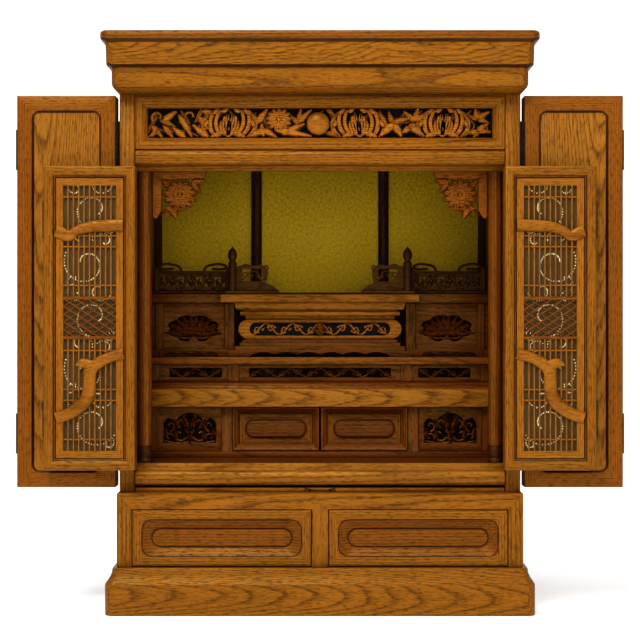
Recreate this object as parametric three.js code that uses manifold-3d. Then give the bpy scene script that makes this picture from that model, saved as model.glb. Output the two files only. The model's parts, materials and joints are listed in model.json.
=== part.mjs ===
// Household altar cabinet: a wooden case on a base with two drawers, closed by two pairs of folding
// doors. Inside stand a gilded rear wall, an altar table, shelves with pierced panels and two drawers.
// Millimetres, +Z up. The front faces -Y, and the origin is under the middle of the plinth.

import * as THREE from "three";
import { mergeVertices } from "three/addons/utils/BufferGeometryUtils.js";
import Module from "manifold-3d";

const wasm = await Module();
wasm.setup();

// ---------------------------------------------------------------- driving dimensions

const GAP = 0.3; // clearance between pieces that touch
const DEPTH = 310;
const BACK = DEPTH / 2;
const OVERHANG = 33; // how far plinth and cornice stand in front of the case
const FRONT = OVERHANG - BACK; // the plane of the case's front edges
const CASE_HALF = 210.5; // half the width of the case
const SIDE = 16; // thickness of a side board
const INNER = CASE_HALF - SIDE - GAP; // half the width of what fits between the sides

const PLINTH_TOP = 49;
const BASE_TOP = 125.8;
const BASE_HALF = 211.4;
const BASE_FRONT = FRONT - 20;
const CASE_BOTTOM = BASE_TOP + GAP;
const CASE_TOP = 543.5;
const TRAY_TOP = 129.9;
const SILL = { bottom: 132.2, top: 148, stop: 154.9 };
const FLOOR_TOP = 154.6;
const HEAD = { stop: 463.6, bottom: 468.7, top: 485 };
const CEILING = { bottom: 531, top: 540 };
const PROUD = 2; // sill and head stand this far in front of the sides
const STOP = { front: FRONT + 12.8, back: FRONT + 19 }; // the strips that the inner doors close on

const TRANSOM = { bottom: 485.3, top: 541.9, border: 12.6, half: INNER };
const BOSS = { x: -2, z: 513, radius: 12.1 };

const STEP = { front: FRONT + 118, bottom: 256.9, top: 264.8 }; // the shelf the altar stands on
const BAND = { front: FRONT + 130, thick: 5 };
const COUNTER = { front: FRONT + 97, board: FRONT + 110, bottom: 210.5, edge: 230.2, top: 237.3 };
const LOWER = { front: FRONT + 108, bottom: 160.9, top: COUNTER.bottom - GAP };
const SHELF = { front: FRONT + 160, bottom: 325.5, top: 335.7 };
const ALTAR = { half: 111.2, front: FRONT + 130, back: FRONT + 214 };
const WALL = { front: FRONT + 262, thick: 3 };
const INTERIOR_BACK = BACK - 6.5 - GAP;

// Folding doors. Each pair has a leaf hinged on the case and a second leaf folded onto it.
const INNER_LEAF = { width: 95.2, thick: 12, bottom: 150, top: 466, stile: 12.4 };
const INNER_OPEN = 191.6; // where the open inner leaves begin
const OUTER_LEAF = { width: 103.75, thick: 15, bottom: 130.4, top: 541.9, stile: 17.5 };
const OUTER_OPEN = 214.6; // where the open outer leaves begin

const BASE_DRAWER = { x0: 9.2, x1: 195.4, z0: 49.9, z1: 108.6, depth: 245 };
const SMALL_DRAWER = { x0: 1, x1: 96.9, z0: LOWER.bottom + GAP, z1: LOWER.top - GAP, depth: 114 };

// ---------------------------------------------------------------- materials

const finish = (color, roughness = 0.45, metalness = 0) => ({ color, roughness, metalness });
const WOOD = finish(0x8a4f1d);
const DARK_WOOD = finish(0x4a2412);
const LATTICE_WOOD = finish(0xa35f24);
const CARVED_WOOD = finish(0xa8692e, 0.6);
const GOLD_LEAF = finish(0x8f8420, 0.35, 0.6);
const BLACK_LACQUER = finish(0x0d0a08, 0.4);
const GAUZE = finish(0x4c4436, 0.8);
const IRON = finish(0x2b2622, 0.4, 0.8);

// ---------------------------------------------------------------- solids

/** A closed three.js geometry as a manifold-3d solid with its faces pointing out. */
function solid(geometry) {
  geometry.deleteAttribute("normal");
  geometry.deleteAttribute("uv");
  const merged = mergeVertices(geometry, 1e-4);
  const vertProperties = merged.attributes.position.array;
  const triVerts = new Uint32Array(merged.index.array);
  const made = new wasm.Manifold(new wasm.Mesh({ numProp: 3, vertProperties, triVerts }));
  if (made.volume() >= 0) return made;
  return new wasm.Manifold(
    new wasm.Mesh({ numProp: 3, vertProperties, triVerts: triVerts.reverse() }),
  );
}

const join = (...parts) => parts.flat().reduce((whole, part) => whole.add(part));

/** A plain board between two corners. */
function board(x0, x1, y0, y1, z0, z1) {
  const geometry = new THREE.BoxGeometry(x1 - x0, y1 - y0, z1 - z0);
  return solid(geometry.translate((x0 + x1) / 2, (y0 + y1) / 2, (z0 + z1) / 2));
}

/** A shape drawn in X and Z, cut from a board that reaches from y0 back to y1. */
function plate(shape, y0, y1) {
  const options = { depth: y1 - y0, bevelEnabled: false, curveSegments: 5 };
  const geometry = new THREE.ExtrudeGeometry(shape, options).rotateX(Math.PI / 2);
  return solid(geometry.translate(0, y1, 0));
}

/** A shape drawn in Y and Z, run along X as a moulding. */
function moulding(points, x0, x1) {
  const shape = new THREE.Shape(points.map(([y, z]) => new THREE.Vector2(y, z)));
  const geometry = new THREE.ExtrudeGeometry(shape, { depth: x1 - x0, bevelEnabled: false });
  const turn = new THREE.Matrix4().makeBasis(
    new THREE.Vector3(0, 1, 0),
    new THREE.Vector3(0, 0, 1),
    new THREE.Vector3(1, 0, 0),
  );
  return solid(geometry.applyMatrix4(turn).translate(x0, 0, 0));
}

/** Closes rings of points into one skin: capped at both ends, or the last ring joined to the first. */
function skin(rings, looped = false) {
  const n = rings[0].length;
  const points = rings.flat();
  const index = [];
  const spans = looped ? rings.length : rings.length - 1;
  for (let i = 0; i < spans; i++) {
    const next = ((i + 1) % rings.length) * n;
    for (let k = 0; k < n; k++) {
      const m = (k + 1) % n;
      index.push(i * n + k, i * n + m, next + m, i * n + k, next + m, next + k);
    }
  }
  if (!looped) {
    for (const [ring, start] of [[rings[0], 0], [rings.at(-1), points.length - n]]) {
      const centre = ring.reduce((sum, p) => sum.add(p), new THREE.Vector3()).divideScalar(n);
      points.push(centre);
      for (let k = 0; k < n; k++) {
        const edge = [start + k, start + ((k + 1) % n)];
        index.push(...(start === 0 ? edge.reverse() : edge), points.length - 1);
      }
    }
  }
  const geometry = new THREE.BufferGeometry().setFromPoints(points).setIndex(index);
  return solid(geometry);
}

/** A rectangle's outline with round corners, as [u, v] pairs anticlockwise from the lower left. */
function roundedRectangle(u0, u1, v0, v1, radii, segments) {
  const corners = [
    [u0, v0, 1, 1, Math.PI],
    [u1, v0, -1, 1, 1.5 * Math.PI],
    [u1, v1, -1, -1, 0],
    [u0, v1, 1, -1, 0.5 * Math.PI],
  ];
  return corners.flatMap(([u, v, su, sv, start], i) => {
    const r = radii[i];
    if (r === 0) return [[u, v]];
    return Array.from({ length: segments + 1 }, (_, k) => {
      const angle = start + (k / segments) * (Math.PI / 2);
      return [u + su * r + r * Math.cos(angle), v + sv * r + r * Math.sin(angle)];
    });
  });
}

/** A ring standing in the X-Z plane at depth y. */
function frontRing(area, inset, y, radius = 0, segments = 3) {
  const { x0, x1, z0, z1 } = area;
  const radii = Array(4).fill(radius);
  return roundedRectangle(x0 + inset, x1 - inset, z0 + inset, z1 - inset, radii, segments).map(
    ([x, z]) => new THREE.Vector3(x, y, z),
  );
}

/** A mitred frame around an area: its section is a list of [inset, depth]. */
const mitredFrame = (area, section) => skin(section.map(([inset, y]) => frontRing(area, inset, y)), true);

/** A board worked from behind to the front: [inset, depth, corner radius] for each ring. */
const workedBoard = (area, steps, segments = 3) =>
  skin(steps.map(([inset, y, radius]) => frontRing(area, inset, y, radius, segments)));

/** A tier that runs round the front and sides: [height, side, front projection] for each ring. */
function tier(steps, radius, segments) {
  return skin(
    steps.map(([z, side, front]) => {
      const half = CASE_HALF + side;
      const outline = roundedRectangle(-half, half, FRONT - front, BACK, [radius, radius, 0, 0], segments);
      return outline.map(([x, y]) => new THREE.Vector3(x, y, z));
    }),
  );
}

/** A stack of plain rectangular mouldings: [height, half width, front] for each ring. */
const stack = (steps, back) =>
  skin(
    steps.map(([z, half, front]) =>
      roundedRectangle(-half, half, front, back, [0, 0, 0, 0], 1).map(
        ([x, y]) => new THREE.Vector3(x, y, z),
      ),
    ),
  );

/** A turned piece: [radius, height] from the bottom axis point to the top one. */
function turned(profile, segments) {
  const points = profile.map(([r, z]) => new THREE.Vector2(r, z));
  return solid(new THREE.LatheGeometry(points, segments).rotateX(Math.PI / 2));
}

// ---------------------------------------------------------------- carving

/** A tapering stroke along a smooth line through [x, z] points: widths at its start and its end. */
function stroke(points, wide, narrow, steps = 6) {
  const curve = new THREE.SplineCurve(points.map(([x, z]) => new THREE.Vector2(x, z)));
  const near = [];
  const far = [];
  for (let i = 0; i <= steps; i++) {
    const t = i / steps;
    const point = curve.getPoint(t);
    const along = curve.getTangent(t);
    const half = (wide + (narrow - wide) * t) / 2;
    near.push(new THREE.Vector2(point.x - along.y * half, point.y + along.x * half));
    far.unshift(new THREE.Vector2(point.x + along.y * half, point.y - along.x * half));
  }
  return new THREE.Shape([...near, ...far]);
}

/** Points of a spiral that winds from radius r to `end` times r. */
function spiral(x, z, r, start, sweep, end = 0.35, count = 5) {
  return Array.from({ length: count }, (_, i) => {
    const t = i / (count - 1);
    const radius = r * (1 + (end - 1) * t);
    return [x + radius * Math.cos(start + sweep * t), z + radius * Math.sin(start + sweep * t)];
  });
}

/** A raised form over an outline of [x, z] pairs: its sides slope in to a smaller top. */
function mound(outline, back, top, shrink) {
  const n = outline.length;
  const cx = outline.reduce((sum, p) => sum + p[0], 0) / n;
  const cz = outline.reduce((sum, p) => sum + p[1], 0) / n;
  const ring = (scale, y) =>
    outline.map(([x, z]) => new THREE.Vector3(cx + (x - cx) * scale, y, cz + (z - cz) * scale));
  return skin([ring(1, back), ring(shrink, top)]);
}

/** A flower seen from the front: petal tips and hollows alternate round its edge. */
function bloom(x, z, radius, petals, back, top) {
  const outline = Array.from({ length: 2 * petals }, (_, i) => {
    const r = radius * (i % 2 ? 0.84 : 1);
    const angle = (i * Math.PI) / petals;
    return [x + r * Math.cos(angle), z + r * Math.sin(angle)];
  });
  return mound(outline, back, top, 0.6);
}

/** A leaf with a toothed edge that points along `angle`. */
function leaf(x, z, length, width, angle, back, top) {
  const half = [[0, 0], [0.25, 0.44], [0.45, 0.33], [0.66, 0.48]];
  const outline = [...half, [1, 0], ...half.slice(1).reverse().map(([u, v]) => [u, -v])];
  const cos = Math.cos(angle);
  const sin = Math.sin(angle);
  const placed = outline.map(([u, v]) => [
    x + length * u * cos - width * v * sin,
    z + length * u * sin + width * v * cos,
  ]);
  return mound(placed, back, top, 0.6);
}

/** A chrysanthemum seen from the side: crowns of petals, each smaller and further forward. */
function sideBloom(x, z, half, height, back, top) {
  const crowns = [[1, 7, 0], [0.72, 5, 2.4], [0.42, 3, 4.6]];
  return crowns.map(([scale, petals, step]) => {
    const outline = [];
    for (let i = 0; i <= 2 * petals; i++) {
      const angle = Math.PI * (1 - i / (2 * petals));
      const reach = scale * (i % 2 ? 1 : 0.72);
      const lift = 0.92 * reach * Math.sin(angle) - 0.44;
      outline.push([x + half * reach * Math.cos(angle), z + height * lift]);
    }
    return mound(outline.reverse(), back, top + 4 - step, 0.85);
  });
}

/** Scrolling vine on both sides of a centre: stems wave along, and a curl may fill each lobe. */
function vine(x, z, half, height, lobes, back, top, curled = true) {
  const pitch = half / lobes;
  const reach = height * 0.48;
  const thick = height * 0.14;
  const parts = curled ? [leaf(x, z - reach, height * 0.95, height * 0.55, Math.PI / 2, back, top)] : [];
  for (const sign of [-1, 1])
    for (let i = 0; i < lobes; i++) {
      const up = i % 2 ? 1 : -1;
      const start = x + sign * pitch * i;
      const centre = start + sign * pitch * 0.5;
      const stem = [
        [start, z - up * reach],
        [start + sign * pitch * 0.3, z - up * reach * 0.1],
        [centre, z + up * reach * 0.8],
        [start + sign * pitch, z + up * reach],
      ];
      parts.push(plate(stroke(stem, thick, thick, 3), top, back));
      if (!curled) continue;
      const curl = spiral(centre + sign * pitch * 0.12, z, reach * 0.95, up * Math.PI * 0.5,
        -up * sign * Math.PI * 1.25);
      parts.push(plate(stroke(curl, thick, thick * 1.4, 4), top, back));
    }
  return parts;
}

// ---------------------------------------------------------------- case

function plinth() {
  const outside = tier([
    [0, 11.4, 31.8], [1.2, 12.6, OVERHANG], [31.5, 12.6, OVERHANG], [33.5, 12, 32.4],
    [37.6, 9.2, 30.2], [42.5, 6.5, 28.4], [47, 5.7, 27.8], [PLINTH_TOP, 4.8, 27],
  ], 9, 2);
  const wall = 20;
  const bottom = 10;
  return outside.subtract(
    board(wall - CASE_HALF, CASE_HALF - wall, BASE_FRONT + wall, BACK - wall, bottom, PLINTH_TOP + 1),
  );
}

function cornice() {
  const outside = tier([
    [CASE_TOP + GAP, 0.3, 16], [546, 2.6, 19.6], [549.5, 5.4, 23], [552, 6.4, 24],
    [568, 6.6, 24.2], [571, 11.4, 29.4], [594, 12.4, 30], [596.6, 16.6, 32.4],
    [598, 17.5, OVERHANG], [604.4, 17.5, OVERHANG], [606, 15.8, 31.4],
  ], 9, 2);
  const wall = 14;
  return outside.subtract(
    board(wall - CASE_HALF, CASE_HALF - wall, FRONT + wall, BACK - wall, CASE_TOP, 590),
  );
}

function baseCase() {
  const y0 = BASE_FRONT + 14 + GAP;
  const z0 = PLINTH_TOP + GAP;
  const shell = board(-BASE_HALF, BASE_HALF, y0, BACK, z0, BASE_TOP);
  const bays = [-1, 1].map((side) => {
    const [x0, x1] = side < 0 ? [-199, -8] : [8, 199];
    return board(x0, x1, y0 - 1, BACK - 8, z0 + 7.5, BASE_TOP - 12);
  });
  return shell.subtract(join(bays));
}

function baseFrame() {
  const [y0, y1] = [BASE_FRONT, BASE_FRONT + 14];
  const z0 = PLINTH_TOP + GAP;
  const rail = board(-BASE_HALF, BASE_HALF, y0, y1, BASE_DRAWER.z1 + 0.6, BASE_TOP);
  const muntin = board(-8.6, 8.6, y0, y1, z0, BASE_TOP);
  const stiles = [-1, 1].map((side) => {
    const edges = [side * BASE_HALF, side * 196].sort((a, b) => a - b);
    return board(...edges, y0, y1, z0, BASE_TOP);
  });
  return join(rail, muntin, stiles);
}

/** A side board with both front edges rounded over. */
function caseSide() {
  const rings = [CASE_BOTTOM, CASE_TOP].map((z) =>
    roundedRectangle(CASE_HALF - SIDE, CASE_HALF, FRONT, BACK, [1.5, 1.5, 0, 0], 2).map(
      ([x, y]) => new THREE.Vector3(x, y, z),
    ),
  );
  return skin(rings);
}

/** A rail with a half-round front edge, and the strip behind it that the inner doors close on. */
function railWithStop(bottom, top, stopBottom, stopTop) {
  const front = FRONT - PROUD;
  const nose = Math.min((top - bottom) / 2, 5);
  const bulge = [0.5, 0.75, 1, 1.25, 1.5].map((turn) => {
    const z = turn <= 1 ? top - nose : bottom + nose;
    return [front + nose + nose * Math.cos(Math.PI * turn), z + nose * Math.sin(Math.PI * turn)];
  });
  const rail = moulding([...bulge, [STOP.front, bottom], [STOP.front, top]], -INNER, INNER);
  const stop = [
    [STOP.front - 0.2, stopBottom], [STOP.back, stopBottom], [STOP.back, stopTop],
    [STOP.front - 0.2, stopTop],
  ];
  return rail.add(moulding(stop, -INNER, INNER));
}

function column() {
  const [foot, top] = [FLOOR_TOP + GAP, CEILING.bottom - GAP];
  const profile = [
    [0, foot], [7.9, foot], [7.9, foot + 3.5], [6.6, foot + 5], [7.9, foot + 9], [7.9, foot + 13],
    [6.6, foot + 17.5], [7.3, foot + 19.5], [7.3, top], [0, top],
  ];
  return turned(profile, 8).translate(186.2, FRONT + 27, 0);
}

function trayPull() {
  const [z0, z1] = [CASE_BOTTOM + 0.4, TRAY_TOP - 0.4];
  const half = 16.8;
  const bar = board(-half, half, FRONT - 4.6, FRONT - 2.6, z0, z1);
  const legs = [-1, 1].map((side) => {
    const edges = [side * half, side * (half - 3)].sort((a, b) => a - b);
    return board(...edges, FRONT - 2.8, FRONT - 0.1, z0, z1);
  });
  return join(bar, legs);
}

/** A drawer: mitred border, a sunk field with round ends and a raised oblong in it, and its box. */
function drawer(size, front, thick, border, boxTop, boxBottom, wall) {
  const y1 = front + thick;
  const { x0, x1, z0, z1, depth } = size;
  const height = z1 - z0;
  const face = workedBoard(size, [
    [0, y1, 0.4], [0, front + 1.5, 0.4], [1.5, front, 0.4], [border - 1.5, front, height * 0.25],
    [border, front + 3, height * 0.3], [border + height * 0.13, front + 3, height * 0.2],
    [border + height * 0.17, front + 0.8, height * 0.16],
  ], 2);
  const side = 3;
  const [b0, b1] = [x0 + side, x1 - side];
  const box = board(b0, b1, y1 - 0.2, y1 + depth, boxBottom, boxTop);
  const inside = board(b0 + wall, b1 - wall, y1, y1 + depth - wall, boxBottom + wall * 0.7, boxTop + 1);
  return face.add(box.subtract(inside));
}

// ---------------------------------------------------------------- transom

function transomFrame() {
  const area = { x0: -TRANSOM.half, x1: TRANSOM.half, z0: TRANSOM.bottom, z1: TRANSOM.top };
  const b = TRANSOM.border;
  const frame = mitredFrame(area, [
    [0, FRONT + 14], [0, FRONT + 1.2], [1.2, FRONT], [b * 0.55, FRONT], [b, FRONT + 4.5],
    [b, FRONT + 14],
  ]);
  return frame.add(board(-INNER, INNER, FRONT + 2, FRONT + 14, TRANSOM.top - 0.2, CASE_TOP));
}

/** Chrysanthemums and leaves in one band; a stem behind them ties them together. */
function transomCarving() {
  const [back, top] = [FRONT + 13.9, FRONT + 5];
  const mid = (TRANSOM.bottom + TRANSOM.top) / 2;
  const tall = TRANSOM.top - TRANSOM.bottom - 2 * TRANSOM.border - 0.8;
  const stem = board(-180.5, 180.5, back - 3.5, back, mid - 3.2, mid + 3.2);
  const parts = [stem, bloom(-43, mid + 3, 12, 8, back, top)];
  for (const [x, half] of [[-95.5, 35], [41, 29], [129.5, 33]])
    parts.push(...sideBloom(x, mid, half, tall, back, top));
  const leaves = [
    [-60, 1, 14, 14, 1.9], [-75, -13, 30, 15, 0.25], [-42, -12, 32, 15, 0.2], [-26, 1, 13, 13, 0.5],
    [66, -13, 24, 15, 0.45], [86, 5, 20, 13, 0.1], [84, -11, 26, 14, 0.15], [158, 5, 22, 13, 0.3],
    [158, -11, 23, 14, 0.35], [-178, -13, 26, 13, 0.35], [-150, -13, 24, 14, 0.5],
  ];
  for (const [x, z, length, width, angle] of leaves)
    parts.push(leaf(x, mid + z, length, width, angle, back, top + 1));
  for (const x of [-168, -128])
    parts.push(plate(stroke(spiral(x, mid + 4, 10, -0.6, 3.9, 0.5), 5, 3, 5), top + 1, back));
  const limits = board(
    -TRANSOM.half + TRANSOM.border + GAP, TRANSOM.half - TRANSOM.border - GAP, FRONT, back,
    mid - tall / 2, mid + tall / 2,
  );
  const seat = turned([[0, 0], [BOSS.radius + GAP, 0], [BOSS.radius + GAP, 10], [0, 10]], 16)
    .rotate([90, 0, 0]).translate(BOSS.x, FRONT + 8.3, BOSS.z);
  return join(parts).intersect(limits).subtract(seat);
}

function transomBoss() {
  const r = BOSS.radius;
  const dome = [[0, 0], [r, 0], [r, 2.6], [r * 0.86, 5.2], [r * 0.5, 7.2], [0, 7.8]];
  return turned(dome, 16).rotate([90, 0, 0]).translate(BOSS.x, FRONT + 8, BOSS.z);
}

// ---------------------------------------------------------------- interior

/** Gilded wall's dark frame: corner strips, two round rods, and the rails that hold them. */
function wallFrame() {
  const [z0, z1] = [SHELF.top + GAP, CEILING.bottom - GAP];
  const [y0, y1] = [WALL.front - 7, WALL.front - GAP];
  const parts = [
    board(-INNER, INNER, y0 + 2, y1, z1 - 9, z1),
    board(-INNER, INNER, y0 + 3, y1, z0, z0 + 2.6),
  ];
  for (const side of [-1, 1]) {
    const edges = [side * INNER, side * 187].sort((a, b) => a - b);
    parts.push(board(...edges, y0 - 2, y1, z0, z1));
    parts.push(turned([[0, z0], [6.2, z0], [6.2, z1], [0, z1]], 8).translate(side * 75, y1 - 6.3, 0));
  }
  return join(parts);
}

/** A corner bracket: an L of two arms with a chrysanthemum and a leaf carved in its corner. */
function bracket() {
  const [y0, y1] = [FRONT + 24, FRONT + 34];
  const [outer, inner, low, top] = [177.4, 119, 409.5, HEAD.bottom - GAP];
  const shape = new THREE.Shape();
  shape.moveTo(outer, top);
  shape.lineTo(inner + 2, top);
  shape.quadraticCurveTo(inner - 4, top - 8, inner + 6, top - 12.5);
  shape.lineTo(outer - 9.5, top - 12.5);
  shape.lineTo(outer - 9.5, low + 3);
  shape.quadraticCurveTo(outer - 5, low - 1, outer, low + 2);
  const flower = bloom(148, 437, 18, 8, y1 - 3, y0 - 2);
  const leaves = [
    leaf(150, 425, 24, 14, -1.2, y1 - 3, y0 + 1), leaf(160, 430, 20, 13, -0.6, y1 - 3, y0 + 1),
    leaf(146, 447, 24, 12, 2.6, y1 - 3, y0 + 1),
  ];
  return join(plate(shape, y0 + 2, y1), flower, leaves);
}

/** The shelf behind the altar, notched in front so that the altar stands in it. */
function upperShelf() {
  const whole = board(-INNER, INNER, SHELF.front, INTERIOR_BACK, SHELF.bottom, SHELF.top);
  const edge = ALTAR.half + 0.5;
  return whole.subtract(
    board(-edge, edge, SHELF.front - 1, ALTAR.back + 0.5, SHELF.bottom - 1, SHELF.top + 1),
  );
}

/** A railing on the side shelf: looped rails that rise at both ends over a pierced board. */
function sideRail() {
  const [y0, y1] = [SHELF.front + 8, SHELF.front + 12];
  const [x0, x1] = [105, 184.5];
  const foot = SHELF.top + GAP;
  const sill = board(x0 - 1, INNER, SHELF.front + 4, SHELF.front + 14, foot, foot + 3.2);
  const outline = new THREE.Shape();
  outline.moveTo(x0, foot + 3);
  outline.lineTo(x1, foot + 3);
  outline.lineTo(x1, 371);
  outline.lineTo(x1 - 14, 371);
  outline.lineTo(x1 - 18, 364.2);
  outline.lineTo(x0 + 18, 364.2);
  outline.lineTo(x0 + 14, 371);
  outline.lineTo(x0, 371);
  const bays = 3;
  const pitch = (x1 - x0 - 3) / bays;
  const windows = [[344, 350], [353, 361.4]].flatMap(([z0, z1]) =>
    Array.from({ length: bays }, (_, i) => {
      const left = x0 + 3 + i * pitch;
      return board(left, left + pitch - 3, y0 - 1, y1 + 1, z0, z1);
    }),
  );
  const caps = [x0, x1].map((x) => board(x - 3, x + 3, y0 - 1, y1 + 1, foot + 3, 366));
  return join(sill, plate(outline, y0, y1).subtract(join(windows)), caps);
}

/** Panel below the side shelf: a post, a wavy apron, and a clouded opening full of leaves. */
function sideCarving() {
  const [y0, y1] = [SHELF.front + 8, SHELF.front + 13];
  const [z0, z1] = [STEP.top + GAP, SHELF.bottom - GAP];
  const [x, z, a, b] = [144, 296.5, 29, 15.5];
  const panel = new THREE.Shape();
  panel.moveTo(108, z0);
  panel.lineTo(INNER, z0);
  panel.lineTo(INNER, z1);
  panel.lineTo(108, z1);
  const lobes = 8;
  const cloud = Array.from({ length: 2 * lobes }, (_, i) => {
    const angle = Math.PI / 2 + (i * Math.PI) / lobes;
    const r = i === lobes ? 0.45 : i % 2 ? 0.97 : 0.9;
    return new THREE.Vector2(x + a * r * Math.cos(angle), z + b * r * Math.sin(angle));
  });
  panel.holes.push(new THREE.Path(cloud));
  const leaves = [-1.15, -0.6, 0.6, 1.15].map((lean) =>
    leaf(x, z - 9, 26, 9, Math.PI / 2 + lean, y1, y0 + 0.6),
  );
  const stems = [-1, 1].map((side) =>
    plate(stroke([[x, z - 10], [x + side * 10, z - 11], [x + side * 23, z - 7]], 4, 2, 2), y0 + 1, y1),
  );
  const apron = new THREE.Shape();
  apron.moveTo(102.5, z0 + 8.4);
  apron.lineTo(102.5, z0);
  for (let i = 0; i <= 8; i++) apron.lineTo(114 + 8 * i, z0 + (i % 2 ? 4.5 : i ? 2.6 : 0));
  apron.lineTo(184, z0);
  apron.lineTo(INNER, z0);
  apron.lineTo(INNER, z0 + 8.4);
  return join(
    plate(panel, y0, y1), plate(apron, SHELF.front, y0 + 0.2), leaves, stems,
    board(97, 108.4, y0 - 4, y1, z0, z1), board(178, 186.5, y0 - 3, y1, z0, z1),
  );
}

function altarTop() {
  const { front, back, half } = ALTAR;
  return stack([
    [307.2, 84, front + 18], [311.2, 84, front + 18], [311.4, 89.6, front + 6], [315.4, 89.6, front + 6],
    [316.2, 86, front + 9], [317.4, 86, front + 9], [317.8, 94, front + 4], [325.5, 96, front + 3],
    [SHELF.bottom + GAP, half, front + 1], [326.8, half, front],
    [334.2, half, front], [335.2, half - 1, front + 1],
  ], back);
}

/** The waist of the altar: a core with a round-ended panel whose opening is filled with vine. */
function altarWaist() {
  const front = ALTAR.front + 15;
  const [z0, z1] = [285.1, 306.9];
  const mid = (z0 + z1) / 2;
  const panel = new THREE.Shape(pairsToPoints(roundedRectangle(-92, 92, z0, z1, Array(4).fill(10.5), 4)));
  const hole = roundedRectangle(-79, 79, mid - 7.4, mid + 7.4, Array(4).fill(7), 2);
  panel.holes.push(new THREE.Path(pairsToPoints(hole)));
  const core = board(-84, 84, front + 5.5, ALTAR.back - 4, z0, z1);
  const carved = vine(0, mid, 77, 15.4, 3, front + 6, front + 1);
  return join(core, plate(panel, front, front + 6), carved);
}

const pairsToPoints = (pairs) => pairs.map(([u, v]) => new THREE.Vector2(u, v));

/** The foot of the altar: stepped mouldings on a board cut away below in waves. */
function altarBase() {
  const front = ALTAR.front + 2;
  const foot = STEP.top + GAP;
  const footBoard = stack([[foot, 102.9, front], [272.5, 102.9, front]], SHELF.front - GAP);
  const steps = stack([
    [foot, 95.2, front + 3], [276.3, 95.2, front + 3], [276.9, 89.9, front + 5], [281, 89.9, front + 5],
    [281.4, 87, front + 8], [283.8, 87, front + 8], [284, 84, front + 12], [284.8, 84, front + 12],
  ], ALTAR.back);
  const waves = new THREE.Shape();
  waves.moveTo(-78, foot - 1);
  for (let i = 0; i <= 12; i++) waves.lineTo(-76 + (152 * i) / 12, foot + (i % 2 ? 5 : 3));
  waves.lineTo(78, foot - 1);
  return join(footBoard, steps).subtract(plate(waves, front - 1, ALTAR.back + 1));
}

/** A rail on the altar: newel post with an onion finial, and a wing board with a scrolled end. */
function altarRail() {
  const y = ALTAR.front + 9;
  const foot = 335.5;
  const base = board(45.9, 106.9, y - 6, y + 4, foot, 339.6);
  const post = board(93.5, 103, y - 5.5, y + 3.5, 339.4, 372.5);
  const finial = turned(
    [[0, 372], [3.4, 372], [3.4, 374.5], [5.2, 378], [4.6, 382.5], [2, 385.5], [0, 388.5]], 8,
  ).translate(98.2, y - 1, 0);
  const wing = new THREE.Shape();
  wing.moveTo(94, 339.4);
  wing.lineTo(94, 366);
  wing.lineTo(84, 366);
  wing.quadraticCurveTo(76, 374, 66, 369);
  wing.quadraticCurveTo(57, 363, 58, 350);
  wing.lineTo(52, 345);
  wing.lineTo(52, 339.4);
  const windows = join(board(64, 88, y - 3, y + 2, 344, 350), board(66, 88, y - 3, y + 2, 353, 362));
  const scroll = plate(stroke(spiral(60, 357, 8, 1.6, 4.2, 0.4, 6), 3, 2.4, 4), y - 3, y + 1);
  return join(base, post, finial, plate(wing, y - 2, y + 1).subtract(windows), scroll);
}

/** The board under the step shelf, with three openings that hold vine, between posts. */
function band() {
  const y0 = BAND.front;
  const y1 = y0 + BAND.thick;
  const [z0, z1] = [COUNTER.top + GAP, STEP.bottom - GAP];
  const mid = 247.3;
  const tall = 10.6;
  const bays = [[0, 79, 2], [-139, 29, 1], [139, 29, 1]];
  const windows = bays.map(([x, half]) =>
    board(x - half, x + half, y0 - 1, y1 + 1, mid - tall / 2, mid + tall / 2),
  );
  const vines = bays.flatMap(([x, half, lobes]) =>
    vine(x, mid, half, tall * 1.05, lobes, y1, y0 + 1.2, false));
  const posts = [-183, -96.4, 96.4, 183].map((x) => {
    const half = Math.abs(x) > 100 ? 4.5 : 6.3;
    return board(x - half, x + half, y0 - 2.5, y1, z0, z1);
  });
  return join(board(-INNER, INNER, y0, y1, z0, z1).subtract(join(windows)), vines, posts);
}

/** The counter: a board with a moulded edge over a deep front rail. */
function counter() {
  const { front, board: edge, bottom, edge: railTop, top } = COUNTER;
  const section = [
    [front, bottom], [front + 14, bottom], [front + 14, railTop - 0.4], [INTERIOR_BACK, railTop - 0.4],
    [INTERIOR_BACK, top], [edge + 2.5, top], [edge, top - 2], [edge, top - 4.6], [edge - 2, railTop],
    [front + 1, railTop], [front, railTop - 1],
  ];
  return moulding(section, -INNER, INNER);
}

/** Housing of the small drawers: deck, walls that show as posts, and the strip along the floor. */
function lowerFrame() {
  const [z0, z1] = [FLOOR_TOP + GAP, LOWER.bottom];
  const back = LOWER.front + 144;
  const deck = board(-109, 109, LOWER.front - 3, back, z0, z1);
  const strip = board(-INNER, INNER, LOWER.front - 3, LOWER.front + 5, z0, z1);
  const walls = [-1, 1].map((side) => {
    const edges = [side * 97.3, side * 109].sort((a, b) => a - b);
    return board(...edges, LOWER.front, back, z1 - 0.2, LOWER.top);
  });
  return join(deck, strip, walls);
}

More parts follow.
